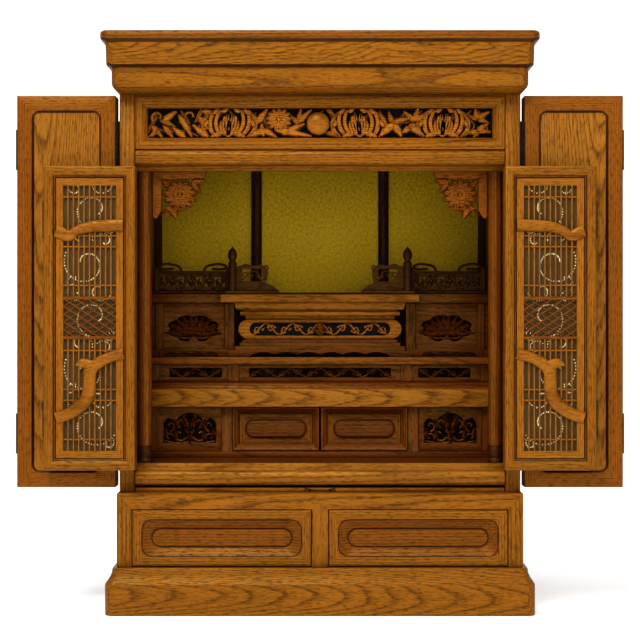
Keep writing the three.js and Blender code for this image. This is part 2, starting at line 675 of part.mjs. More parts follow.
/** Panel beside the small drawers: a cloud-topped opening with scrolls around a centre leaf. */
function lowerCarving() {
  const [y0, y1] = [LOWER.front + 2, LOWER.front + 7];
  const [z0, z1] = [LOWER.bottom + GAP, LOWER.top];
  const x = 144.2;
  const [floor, shoulder] = [170.2, 194];
  const panel = new THREE.Shape(
    pairsToPoints([[109.3, z0], [INNER, z0], [INNER, z1], [109.3, z1]]),
  );
  const hole = new THREE.Path();
  hole.moveTo(x - 29, floor);
  hole.lineTo(x + 29, floor);
  hole.lineTo(x + 29, shoulder);
  hole.quadraticCurveTo(x + 22, shoulder + 7, x + 16, shoulder + 2);
  hole.quadraticCurveTo(x, shoulder + 17, x - 16, shoulder + 2);
  hole.quadraticCurveTo(x - 22, shoulder + 7, x - 29, shoulder);
  panel.holes.push(hole);
  const curls = [-1, 1].flatMap((side) => [
    [[x, 171], ...spiral(x + side * 11, 178, 8.2, Math.PI * (side > 0 ? 1 : 0), -side * 4.4)],
    [[x + side * 2, 183], ...spiral(x + side * 20, 190, 7.4, Math.PI * (side > 0 ? 1.3 : 1.7), side * 4.6)],
  ]);
  const centre = leaf(x, 168, 22, 10, Math.PI / 2, y1, y0 + 0.4);
  const strokes = curls.map((line) => plate(stroke(line, 2.2, 2, 4), y0 + 1, y1));
  const end = board(178, 186.5, y0 - 3, y1, z0, z1);
  return join(plate(panel, y0, y1), centre, strokes, end);
}

// ---------------------------------------------------------------- folding doors

/** An outer leaf: mitred frame with a sunk, round-cornered panel on both faces. */
function outerLeaf() {
  const { width, thick, bottom, top, stile } = OUTER_LEAF;
  const area = { x0: 0, x1: width, z0: bottom, z1: top };
  const steps = [
    [stile, 3.5, 8], [stile - 2, 0.4, 9], [1.5, 0, 0.5], [0, 1.5, 0.5],
    [0, thick - 1.5, 0.5], [1.5, thick, 0.5], [stile - 2, thick - 0.4, 9], [stile, thick - 3.5, 8],
  ];
  return workedBoard(area, steps, 1);
}

function innerFrame() {
  const { width, thick, bottom, top, stile } = INNER_LEAF;
  const area = { x0: 0, x1: width, z0: bottom, z1: top };
  return mitredFrame(area, [
    [0, 1.2], [1.5, 0], [stile * 0.7, 0], [stile, 2.6], [stile, thick - 2], [stile - 1.5, thick],
    [1.5, thick], [0, thick - 1.2],
  ]);
}

/** The lattice of an inner leaf: border, upright bars before two heavy rails, and bent branches. */
function lattice() {
  const { width, bottom, top, stile } = INNER_LEAF;
  const border = 7.6;
  const [x0, x1] = [stile + GAP, width - stile - GAP];
  const [z0, z1] = [bottom + stile + GAP, top - stile - GAP];
  const front = 3.6;
  const back = 7.5;
  const opening = { x0: x0 + border, x1: x1 - border, z0: z0 + 6.6, z1: z1 - 6.6 };
  const frame = mitredFrame({ x0, x1, z0, z1 }, [[0, front], [border, front], [border, back], [0, back]]);
  const rails = [[286.1, 289.3], [327.3, 330.6]].map(([low, high]) =>
    board(opening.x0 - 0.5, opening.x1 + 0.5, front + 2, back - 0.4, low, high),
  );
  const bars = 9;
  const pitch = (opening.x1 - opening.x0) / (bars + 1);
  const uprights = Array.from({ length: bars }, (_, i) => {
    const x = opening.x0 + (i + 1) * pitch;
    return board(x - 0.7, x + 0.7, front + 0.3, front + 1.7, opening.z0 - 0.5, opening.z1 + 0.5);
  });
  const upper = stroke([[x0, 404.6], [38, 400.5], [62, 393.6], [74, 392.6], [x1, 397.4]], 12, 14, 4);
  const arm = stroke([[x0, 271.6], [24, 268.5], [36, 262], [50, 260.5], [64, 257]], 13, 1.5, 4);
  const trunk = stroke([[51, 262], [47.5, 245], [48.5, 232], [54, 221], [66, 209.5], [x1, 205]], 14, 13, 5);
  const branches = join([upper, arm, trunk].map((shape) => plate(shape, front - 1.6, front + 0.1)));
  const within = board(x0, x1, 0, back, z0, z1);
  return join(frame, rails, uprights, branches.intersect(within));
}

function gauze() {
  const { width, bottom, top, stile } = INNER_LEAF;
  const inset = stile + 1;
  return board(inset, width - inset, 7.5 + GAP, 8.4, bottom + inset, top - inset);
}

// ---------------------------------------------------------------- assembly

const cabinet = new THREE.Group();

/** A solid as a named mesh with a material of its own. */
function piece(name, made, look) {
  const { numProp, vertProperties, triVerts } = made.getMesh();
  const geometry = new THREE.BufferGeometry()
    .setAttribute("position", new THREE.BufferAttribute(vertProperties, numProp))
    .setIndex(new THREE.BufferAttribute(triVerts, 1));
  const mesh = new THREE.Mesh(geometry, new THREE.MeshStandardMaterial(look));
  mesh.name = name;
  return mesh;
}

const INTERIOR = [CASE_BOTTOM, CASE_TOP];
cabinet.add(
  piece("plinth", plinth(), WOOD),
  piece("base_case", baseCase(), WOOD),
  piece("base_frame", baseFrame(), WOOD),
  piece("cornice", cornice(), WOOD),
  piece("back_panel", board(-INNER, INNER, BACK - 6.5, BACK, ...INTERIOR), WOOD),
  piece("ceiling",
    board(-INNER, INNER, FRONT + 17.3, INTERIOR_BACK, CEILING.bottom, CEILING.top), DARK_WOOD),
  piece("floor", board(-INNER, INNER, STOP.back + GAP, INTERIOR_BACK, 144, FLOOR_TOP), WOOD),
  piece("sill", railWithStop(SILL.bottom, SILL.top, 144, SILL.stop), WOOD),
  piece("door_head", railWithStop(HEAD.bottom, HEAD.top, HEAD.stop, 474), WOOD),
  piece("transom_frame", transomFrame(), WOOD),
  piece("transom_backing", board(-190, 190, FRONT + 14.3, FRONT + 17, 489, 538), BLACK_LACQUER),
  piece("transom_carving", transomCarving(), CARVED_WOOD),
  piece("transom_boss", transomBoss(), CARVED_WOOD),
  piece("tray", board(-INNER + 0.4, INNER - 0.4, FRONT + 0.2, FRONT + 232, CASE_BOTTOM, TRAY_TOP), WOOD),
  piece("tray_pull", trayPull(), IRON),
  piece("gold_panel", board(-INNER, INNER, WALL.front, WALL.front + WALL.thick, SHELF.top + GAP,
    CEILING.bottom - GAP), GOLD_LEAF),
  piece("wall_frame", wallFrame(), DARK_WOOD),
  piece("upper_shelf", upperShelf(), WOOD),
  piece("altar_top", altarTop(), WOOD),
  piece("altar_waist", altarWaist(), CARVED_WOOD),
  piece("altar_base", altarBase(), WOOD),
  piece("step_shelf", board(-INNER, INNER, STEP.front, INTERIOR_BACK, STEP.bottom, STEP.top), WOOD),
  piece("band", band(), WOOD),
  piece("counter", counter(), WOOD),
  piece("lower_frame", lowerFrame(), WOOD),
);

/** Everything that comes in mirrored pairs; the left half is the right one mirrored in X. */
function half(side) {
  const group = new THREE.Group();
  group.scale.x = side === "left" ? -1 : 1;
  const name = (part) => `${part}_${side}`;
  const box = [BASE_DRAWER.z1 - 8, PLINTH_TOP + 8.1];
  const tray = [SMALL_DRAWER.z1 - 9, SMALL_DRAWER.z0 + 0.8];
  group.add(
    piece(name("side"), caseSide(), WOOD),
    piece(name("column"), column(), DARK_WOOD),
    piece(name("bracket"), bracket(), CARVED_WOOD),
    piece(name("side_rail"), sideRail(), DARK_WOOD),
    piece(name("side_carving"), sideCarving(), WOOD),
    piece(name("altar_rail"), altarRail(), DARK_WOOD),
    piece(name("lower_carving"), lowerCarving(), WOOD),
    piece(name("base_drawer"), drawer(BASE_DRAWER, BASE_FRONT + 0.4, 13.6, 11, ...box, 9), WOOD),
    piece(name("small_drawer"), drawer(SMALL_DRAWER, LOWER.front, 10, 9, ...tray, 6), WOOD),
  );

  // Open leaves lie flat beside the case: the inner ones in front of its plane, the outer ones behind.
  const innerBack = FRONT - 2.7;
  const innerFront = innerBack - 2 * INNER_LEAF.thick - 0.8;
  const innerParts = [
    ["frame", innerFrame(), WOOD], ["lattice", lattice(), LATTICE_WOOD], ["gauze", gauze(), GAUZE],
  ];
  for (const [leafName, y, facing] of [["inner_fold", innerFront, 1], ["inner_door", innerBack, -1]]) {
    const leafGroup = new THREE.Group();
    leafGroup.position.set(INNER_OPEN, y, 0);
    leafGroup.scale.y = facing;
    for (const [part, made, look] of innerParts)
      leafGroup.add(piece(name(`${leafName}_${part}`), made, look));
    group.add(leafGroup);
  }
  const outer = outerLeaf();
  for (const [leafName, y] of [["outer_door", FRONT], ["outer_fold", FRONT + OUTER_LEAF.thick + 0.8]]) {
    const mesh = piece(name(leafName), outer, WOOD);
    mesh.position.set(OUTER_OPEN, y, 0);
    group.add(mesh);
  }
  return group;
}

cabinet.add(half("left"), half("right"));

export default cabinet;
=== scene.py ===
"""Household altar cabinet: the finishes, carving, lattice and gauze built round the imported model.

Metres, +Z up. The doors face -Y, and the origin is under the middle of the plinth.
"""

import json
import logging
import sys
from dataclasses import dataclass, replace
from enum import Enum
from functools import cache
from math import atan2, cos, pi, radians, sin, tau
from typing import Any, Callable, Iterable, Optional, Sequence

import bmesh
import bpy
from mathutils import Matrix, Vector

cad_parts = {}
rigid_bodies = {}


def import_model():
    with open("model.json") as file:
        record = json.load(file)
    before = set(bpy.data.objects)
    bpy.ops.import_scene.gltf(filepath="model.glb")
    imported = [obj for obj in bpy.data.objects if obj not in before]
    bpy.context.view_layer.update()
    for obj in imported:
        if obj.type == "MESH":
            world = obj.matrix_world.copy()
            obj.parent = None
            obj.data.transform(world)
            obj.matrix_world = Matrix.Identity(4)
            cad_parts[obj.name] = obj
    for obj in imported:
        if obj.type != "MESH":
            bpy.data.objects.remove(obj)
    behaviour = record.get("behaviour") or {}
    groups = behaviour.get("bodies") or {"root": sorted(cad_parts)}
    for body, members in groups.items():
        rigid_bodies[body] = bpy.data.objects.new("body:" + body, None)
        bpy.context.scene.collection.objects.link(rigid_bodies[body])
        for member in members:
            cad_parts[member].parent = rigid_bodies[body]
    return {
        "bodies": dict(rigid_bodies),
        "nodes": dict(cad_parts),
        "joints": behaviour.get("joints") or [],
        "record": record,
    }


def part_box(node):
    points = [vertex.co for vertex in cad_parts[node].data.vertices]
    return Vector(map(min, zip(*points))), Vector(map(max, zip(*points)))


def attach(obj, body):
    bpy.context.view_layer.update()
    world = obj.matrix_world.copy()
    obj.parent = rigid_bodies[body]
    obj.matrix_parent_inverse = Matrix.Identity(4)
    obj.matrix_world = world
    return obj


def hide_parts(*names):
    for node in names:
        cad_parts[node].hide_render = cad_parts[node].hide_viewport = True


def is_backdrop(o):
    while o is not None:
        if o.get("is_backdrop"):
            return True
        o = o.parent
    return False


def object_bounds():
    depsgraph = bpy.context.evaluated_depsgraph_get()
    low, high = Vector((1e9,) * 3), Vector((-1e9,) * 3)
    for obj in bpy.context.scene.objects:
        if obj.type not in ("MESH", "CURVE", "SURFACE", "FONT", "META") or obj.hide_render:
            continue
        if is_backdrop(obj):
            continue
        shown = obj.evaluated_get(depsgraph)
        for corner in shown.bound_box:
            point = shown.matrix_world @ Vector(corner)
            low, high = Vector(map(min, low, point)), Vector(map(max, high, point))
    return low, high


LOG = logging.getLogger("altar")
MM = 0.001
WELD = 1e-5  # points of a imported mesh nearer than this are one
MERGE = 1e-6  # points of a new mesh nearer than this are one
STEEP = 0.8  # a face whose normal has less of Y than this is a step in a moulding

Colour = tuple[float, float, float]
Pair = tuple[float, float]
Socket = Any
Picker = Callable[[Vector, Vector], int]


def show(item: bpy.types.Object) -> None:
    """Puts an object into the scene."""
    bpy.context.scene.collection.objects.link(item)


def mm(*lengths: float) -> tuple[float, ...]:
    """Lengths given in millimetres, as metres."""
    return tuple(length * MM for length in lengths)


def in_metres(points: Iterable[Sequence[float]]) -> list[tuple[float, ...]]:
    """Points given in millimetres, as metres."""
    return [mm(*point) for point in points]


class Side(Enum):
    """Which half of the cabinet a mirrored piece belongs to."""

    LEFT = -1
    RIGHT = 1

    @property
    def word(self) -> str:
        """The side in lower case."""
        return self.name.lower()

    def name_of(self, part: str) -> str:
        """The name of a paired part on this side."""
        return f"{part}_{self.word}"


class Grain(Enum):
    """The way the wood's fibres run: (along, across, depth) as indices of X, Y and Z."""

    LEVEL = (0, 2, 1)
    UPRIGHT = (2, 0, 1)
    INWARD = (1, 0, 2)


def srgb(red: int, green: int, blue: int) -> Colour:
    """A colour given in display values, as the linear values that a shader takes.

    Args:
        red: from 0 to 255.
        green: from 0 to 255.
        blue: from 0 to 255.

    Returns:
        The linear colour.
    """

    def linear(value: int) -> float:
        """One display value as a linear one."""
        share = value / 255
        return share / 12.92 if share <= 0.04045 else ((share + 0.055) / 1.055) ** 2.4

    return (linear(red), linear(green), linear(blue))


class Tone(Enum):
    """Stain colours, from the smooth late wood to the open pores; DARK also serves as painted shade in steps,
    grooves, carving edges and the column's foot.
    """

    GOLDEN = (srgb(120, 73, 14), srgb(99, 56, 8), srgb(42, 17, 2))
    HONEY = (srgb(134, 86, 26), srgb(108, 64, 14), srgb(54, 25, 4))
    ORANGE = (srgb(130, 80, 20), srgb(111, 64, 11), srgb(72, 32, 4))
    AMBER = (srgb(104, 56, 10), srgb(84, 41, 5), srgb(36, 13, 1))
    RUSSET = (srgb(112, 62, 10), srgb(97, 49, 6), srgb(46, 18, 2))
    BROWN = (srgb(90, 41, 9), srgb(68, 28, 5), srgb(22, 7, 1))
    DARK = (srgb(52, 19, 6), srgb(36, 12, 4), srgb(10, 3, 1))


# ---- finishes


class Shader:
    """A node material under construction, with short ways to add and join nodes."""

    def __init__(self, name: str) -> None:
        """Starts an empty node material with a principled shader.

        Args:
            name: the material's name.
        """
        self.material = bpy.data.materials.new(name)
        self.material.use_nodes = True
        self.tree = self.material.node_tree
        self.tree.nodes.clear()
        output = self.tree.nodes.new("ShaderNodeOutputMaterial")
        self.surface = self.tree.nodes.new("ShaderNodeBsdfPrincipled")
        self.tree.links.new(self.surface.outputs[0], output.inputs[0])

    def set(self, socket: Socket, value: Any) -> None:
        """Links an output to an input, or gives the input a plain value.

        Args:
            socket: the input.
            value: the output or the value.
        """
        if isinstance(value, bpy.types.NodeSocket):
            self.tree.links.new(value, socket)
        elif isinstance(value, tuple) and len(value) == 3 and socket.type == "RGBA":
            socket.default_value = (*value, 1.0)
        else:
            socket.default_value = value

    def finish(self, **sockets: Any) -> bpy.types.Material:
        """Sets the principled shader's sockets by name and returns the material.

        Args:
            sockets: socket names with underscores for spaces, and a value or an output for each.

        Returns:
            The finished material.
        """
        for name, value in sockets.items():
            self.set(self.surface.inputs[name.replace("_", " ")], value)
        return self.material

    def node(self, kind: str, inputs: Optional[dict[Any, Any]] = None, **settings: Any) -> Any:
        """Adds a node.

        Args:
            kind: the node's type without its "ShaderNode" prefix.
            inputs: values or outputs for its inputs, by name or index.
            settings: the node's own properties.

        Returns:
            The node.
        """
        made = self.tree.nodes.new("ShaderNode" + kind)
        for key, value in settings.items():
            setattr(made, key, value)
        for key, value in (inputs or {}).items():
            self.set(made.inputs[key], value)
        return made

    def math(self, operation: str, *values: Any) -> Socket:
        """The result of a Math node on one to three values."""
        return self.node("Math", dict(enumerate(values)), operation=operation).outputs[0]

    def add(self, first: Any, second: Any) -> Socket:
        """The sum of two values."""
        return self.math("ADD", first, second)

    def minus(self, first: Any, second: Any) -> Socket:
        """The first value less the second."""
        return self.math("SUBTRACT", first, second)

    def times(self, first: Any, second: Any) -> Socket:
        """The product of two values."""
        return self.math("MULTIPLY", first, second)

    def over(self, first: Any, second: Any) -> Socket:
        """The first value divided by the second."""
        return self.math("DIVIDE", first, second)

    def noise(self, vector: Socket, scale: float, detail: float = 2.0, rough: float = 0.5) -> Socket:
        """Smooth noise from 0 to 1 at a point."""
        inputs = {"Vector": vector, "Scale": scale, "Detail": detail, "Roughness": rough}
        return self.node("TexNoise", inputs).outputs["Fac"]

    def ramp(self, factor: Socket, stops: Sequence[tuple[float, Any]]) -> Socket:
        """A colour ramp.

        Args:
            factor: where on the ramp, from 0 to 1.
            stops: places on the ramp, each with a grey value or a colour.

        Returns:
            The ramp's colour output.
        """
        made = self.node("ValToRGB", {"Fac": factor})
        ramp = made.color_ramp
        while len(ramp.elements) < len(stops):
            ramp.elements.new(0.5)
        for element, (place, value) in zip(ramp.elements, stops):
            element.position = place
            colour = value if isinstance(value, tuple) else (value, value, value)
            element.color = (*colour, 1.0)
        return made.outputs["Color"]

    def mix(self, factor: Any, first: Any, second: Any, blend: str = "MIX") -> Socket:
        """Two colours mixed.

        Args:
            factor: the second colour's share.
            first: the first colour.
            second: the second colour.
            blend: the way that they mix.

        Returns:
            The mixed colour.
        """
        made = self.node("Mix", data_type="RGBA", blend_type=blend)
        for index, value in ((0, factor), (6, first), (7, second)):
            self.set(made.inputs[index], value)
        return made.outputs[2]

    def bump(self, height: Socket, distance: float, strength: float = 1.0) -> Socket:
        """A surface normal tilted by a height that is given as a share of a distance."""
        inputs = {"Height": height, "Distance": distance, "Strength": strength}
        return self.node("Bump", inputs).outputs["Normal"]

    def place(self) -> Socket:
        """The point on the piece, in its own coordinates."""
        return self.node("TexCoord").outputs["Object"]


@dataclass(frozen=True)
class Wood:
    """Stained, open-pored hardwood under satin lacquer, sawn as one board from a log.

    Growth rings run round the log's heart, so a board sawn near the heart shows nested arches, and
    one sawn far from it shows straight lines.
    """

    name: str
    tone: Tone = Tone.GOLDEN
    grain: Grain = Grain.UPRIGHT
    heart: Pair = (0.3, 0.02)  # the heart's place across the board and behind its origin
    lean: float = 0.01  # how fast the heart comes nearer along the board
    ring: float = 0.0034
    wander: float = 0.012  # how far knots and burls push the rings aside
    mark: float = 0.62  # how dark the lines of open pores are
    gloss: float = 0.42
    figure: Pair = (4.5, 18.0)  # how often the rings swing, per metre along and across
    relief: Optional[Pair] = None  # the front and back of a carving: painted light on its high points and painted shade in its hollows

    def material(self) -> bpy.types.Material:
        """Builds the board's material."""
        shader = Shader(self.name)
        parts = shader.node("SeparateXYZ", {0: shader.place()}).outputs
        axes = [parts[i] for i in self.grain.value]
        phase = self._rings(shader, axes)
        smooth, body, pore = self.tone.value
        drawn = self._fibres(shader, axes, (40, 260), 2.0, 0.6)
        line = shader.ramp(phase, [(0.0, 0.9), (0.05, 1.0), (0.13, 0.3), (0.3, 0.06), (0.9, 0.0), (1.0, 0.9)])
        line = shader.times(line, shader.ramp(drawn, [(0.32, 0.35), (0.62, 1.0)]))
        season = shader.ramp(phase, [(0.1, 0.8), (0.5, 0.2), (0.9, 0.35), (1.0, 0.8)])
        colour = shader.mix(season, smooth, body)
        fibre = self._fibres(shader, axes, (14, 520), 3.0, 0.6)
        shade = shader.ramp(fibre, [(0.3, 0.76), (0.5, 1.0), (0.7, 1.18)])
        colour = shader.mix(0.8, colour, shade, "MULTIPLY")
        cloud = shader.ramp(shader.noise(shader.place(), 11.0, 1.5), [(0.3, 0.86), (0.7, 1.1)])
        colour = shader.mix(0.7, colour, cloud, "MULTIPLY")
        colour = shader.mix(shader.times(line, self.mark), colour, pore)
        hole = self._fibres(shader, axes, (130, 820), 1.0, 0.4)
        early = shader.ramp(phase, [(0.0, 1.0), (0.35, 0.75), (0.8, 0.45), (1.0, 1.0)])
        pores = shader.times(shader.ramp(hole, [(0.53, 0.0), (0.61, 1.0)]), early)
        colour = shader.mix(shader.times(pores, 0.68), colour, pore)
        # A carving's colour is scaled by its depth along Y: painted light on the front and painted shade
        # deeper in.
        if self.relief:
            front, back = self.relief
            sunk = shader.over(shader.minus(parts[1], front), back - front)
            hollow_shade = shader.ramp(sunk, [(0.0, 1.3), (0.35, 1.0), (0.7, 0.5), (1.0, 0.25)])
            colour = shader.mix(1.0, colour, hollow_shade, "MULTIPLY")
        sunk_in = shader.math("MAXIMUM", pores, shader.times(line, 0.6))
        relief = shader.minus(shader.times(fibre, 0.25), sunk_in)
        rough = shader.add(shader.times(pores, 0.25), self.gloss)
        return shader.finish(
            Base_Color=colour, Roughness=rough, Normal=shader.bump(relief, 0.00012, 0.8),
            Specular_IOR_Level=0.4, Specular_Tint=(1.0, 0.6, 0.16, 1.0),
        )

    def _rings(self, shader: Shader, axes: Sequence[Socket]) -> Socket:
        """Growth rings round the log's heart.

        Args:
            shader: the material under construction.
            axes: the coordinates along the fibres, across the board and through it.

        Returns:
            The place within a year's ring, from 0 to 1.
        """
        along, across, depth = axes
        push = shader.minus(self._fibres(shader, axes, self.figure, 2.5), 0.5)
        push = shader.times(push, self.wander * 2)
        from_heart = shader.add(shader.minus(across, self.heart[0]), push)
        sunk = shader.add(shader.times(along, self.lean), self.heart[1])
        sunk = shader.add(sunk, shader.add(depth, push))
        square = shader.add(shader.math("POWER", from_heart, 2.0), shader.math("POWER", sunk, 2.0))
        drift = shader.times(self._fibres(shader, axes, (5, 60), 2.0), 1.1)
        rings = shader.add(shader.over(shader.math("SQRT", square), self.ring), drift)
        return shader.math("FRACT", rings)

    @staticmethod
    def _fibres(shader: Shader, axes: Sequence[Socket], changes: Pair, detail: float,
                rough: float = 0.5) -> Socket:
        """Noise whose grains are long along the fibres.

        Args:
            shader: the material under construction.
            axes: the coordinates along the fibres, across the board and through it.
            changes: changes per metre along the fibres and across them.
            detail: how many finer layers it has.
            rough: how strong those are.

        Returns:
            The noise, from 0 to 1.
        """
        along, across, depth = axes
        slow, fast = changes
        pairs = ((across, fast), (depth, fast), (along, slow))
        scaled = dict(enumerate(shader.times(value, scale) for value, scale in pairs))
        return shader.noise(shader.node("CombineXYZ", scaled).outputs[0], 1.0, detail, rough)


@dataclass(frozen=True)
class GoldLeaf:
    """Gold leaf laid on a board: softly mottled."""

    name: str = "gold_leaf"

    def material(self) -> bpy.types.Material:
        """Builds the gold leaf's material."""
        shader = Shader(self.name)
        mottle = shader.noise(shader.place(), 300.0, 6.0, 0.7)
        cloud = shader.noise(shader.place(), 14.0, 3.0)
        light = shader.mix(cloud, srgb(158, 128, 18), srgb(186, 154, 28))
        colour = shader.mix(shader.ramp(mottle, [(0.3, 0.0), (0.62, 1.0)]), srgb(108, 84, 6), light)
        return shader.finish(
            Base_Color=colour, Metallic=0.45, Roughness=shader.add(0.3, shader.times(mottle, 0.3)),
            Normal=shader.bump(mottle, 0.0002, 0.5), Specular_Tint=(1.0, 0.8, 0.2, 1.0),
        )


@dataclass(frozen=True)
class Lacquer:
    """Plain black lacquer with faint brush unevenness."""

    name: str = "black_lacquer"

    def material(self) -> bpy.types.Material:
        """Builds the lacquer's material."""
        shader = Shader(self.name)
        uneven = shader.noise(shader.place(), 120.0, 3.0)
        colour = shader.mix(uneven, srgb(6, 4, 3), srgb(20, 12, 9))
        rough = shader.add(0.5, shader.times(uneven, 0.2))
        return shader.finish(Base_Color=colour, Roughness=rough, Specular_IOR_Level=0.08)


@dataclass(frozen=True)
class Metal:
    """Worked metal with fine unevenness and rubbed high spots."""

    name: str
    dark: Colour
    light: Colour
    rough: float = 0.35

    def material(self) -> bpy.types.Material:
        """Builds the metal's material."""
        shader = Shader(self.name)
        uneven = shader.noise(shader.place(), 700.0, 4.0)
        colour = shader.mix(shader.ramp(uneven, [(0.35, 0.0), (0.7, 1.0)]), self.dark, self.light)
        rough = shader.add(self.rough, shader.times(uneven, 0.2))
        return shader.finish(
            Base_Color=colour, Metallic=0.85, Roughness=rough, Normal=shader.bump(uneven, 0.00005, 0.5)
        )


@dataclass(frozen=True)
class Gauze:
    """Fine dark gauze: a square weave of threads with a soft sheen."""

    name: str = "gauze"
    pitch: float = 0.0011

    def material(self) -> bpy.types.Material:
        """Builds the gauze's material."""
        shader = Shader(self.name)
        parts = shader.node("SeparateXYZ", {0: shader.place()}).outputs
        turns = [shader.times(parts[i], tau / self.pitch) for i in (0, 2)]
        waves = [shader.math("ABSOLUTE", shader.math("SINE", turn)) for turn in turns]
        weave = shader.math("MAXIMUM", *waves)
        cloud = shader.noise(shader.place(), 30.0, 2.0)
        base = shader.mix(cloud, srgb(66, 50, 28), srgb(92, 74, 46))
        colour = shader.mix(shader.ramp(weave, [(0.3, 0.0), (0.9, 1.0)]), srgb(26, 15, 7), base)
        return shader.finish(
            Base_Color=colour, Roughness=0.8, Specular_IOR_Level=0.1, Normal=shader.bump(weave, 0.0002, 0.6)
        )


@dataclass(frozen=True)
class Backdrop:
    """Plain pale paper that the cabinet stands on."""

    name: str = "backdrop"

    def material(self) -> bpy.types.Material:
        """Builds the paper's material."""
        shader = Shader(self.name)
        tooth = shader.noise(shader.place(), 4.0, 2.0)
        colour = shader.mix(tooth, (0.93, 0.93, 0.93), (0.96, 0.96, 0.96))
        return shader.finish(
            Base_Color=colour, Roughness=0.9, Specular_IOR_Level=0.1, Emission_Color=(1.0, 1.0, 1.0, 1.0),
            Emission_Strength=0.3,
        )


Finish = Wood | GoldLeaf | Lacquer | Metal | Gauze | Backdrop


@cache
def dressing(finish: Finish) -> bpy.types.Material:
    """A finish's material, built the first time that it is asked for."""
    return finish.material()


# ---- making pieces


@dataclass(frozen=True)
class Area:
    """An upright rectangle in X and Z."""

    x0: float
    x1: float
    z0: float
    z1: float

    def inset(self, margin: float) -> "Area":
        """The rectangle a margin smaller on every side."""
        return Area(self.x0 + margin, self.x1 - margin, self.z0 + margin, self.z1 - margin)

    @property
    def centre(self) -> Pair:
        """The middle of the rectangle."""
        return ((self.x0 + self.x1) / 2, (self.z0 + self.z1) / 2)

    def on_rail(self, x: float, z: float) -> bool:
        """Whether a point of a mitred frame round this area lies on its top or bottom rail.

        Args:
            x: the point's place across.
            z: the point's height.

        Returns:
            Whether it does.
        """
        middle_x, middle_z = self.centre
        past_end = abs(z - middle_z) - (self.z1 - self.z0) / 2
        return past_end > abs(x - middle_x) - (self.x1 - self.x0) / 2


def area_of(node: str) -> Area:
    """The rectangle that a node fills when seen from the front."""
    low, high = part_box(node)
    return Area(low.x, high.x, low.z, high.z)


def rounded(corners: Sequence[Pair], radii: Sequence[float], segments: int) -> list[Pair]:
    """An upright or level rectangle's outline with round corners.

    Args:
        corners: its corners, anticlockwise from the lower left.
        radii: each corner's radius; a corner without one stays a single point.
        segments: edges in each round corner.

    Returns:
        The outline's points.
    """
    inward = ((1, 1), (-1, 1), (-1, -1), (1, -1))
    points = []
    for index, ((u, v), radius, (to_u, to_v)) in enumerate(zip(corners, radii, inward)):
        if not radius:
            points.append((u, v))
            continue
        for i in range(segments + 1):
            angle = pi * (1 + index / 2 + i / segments / 2)
            points.append((
                u + radius * (to_u + cos(angle)), v + radius * (to_v + sin(angle))
            ))
    return points


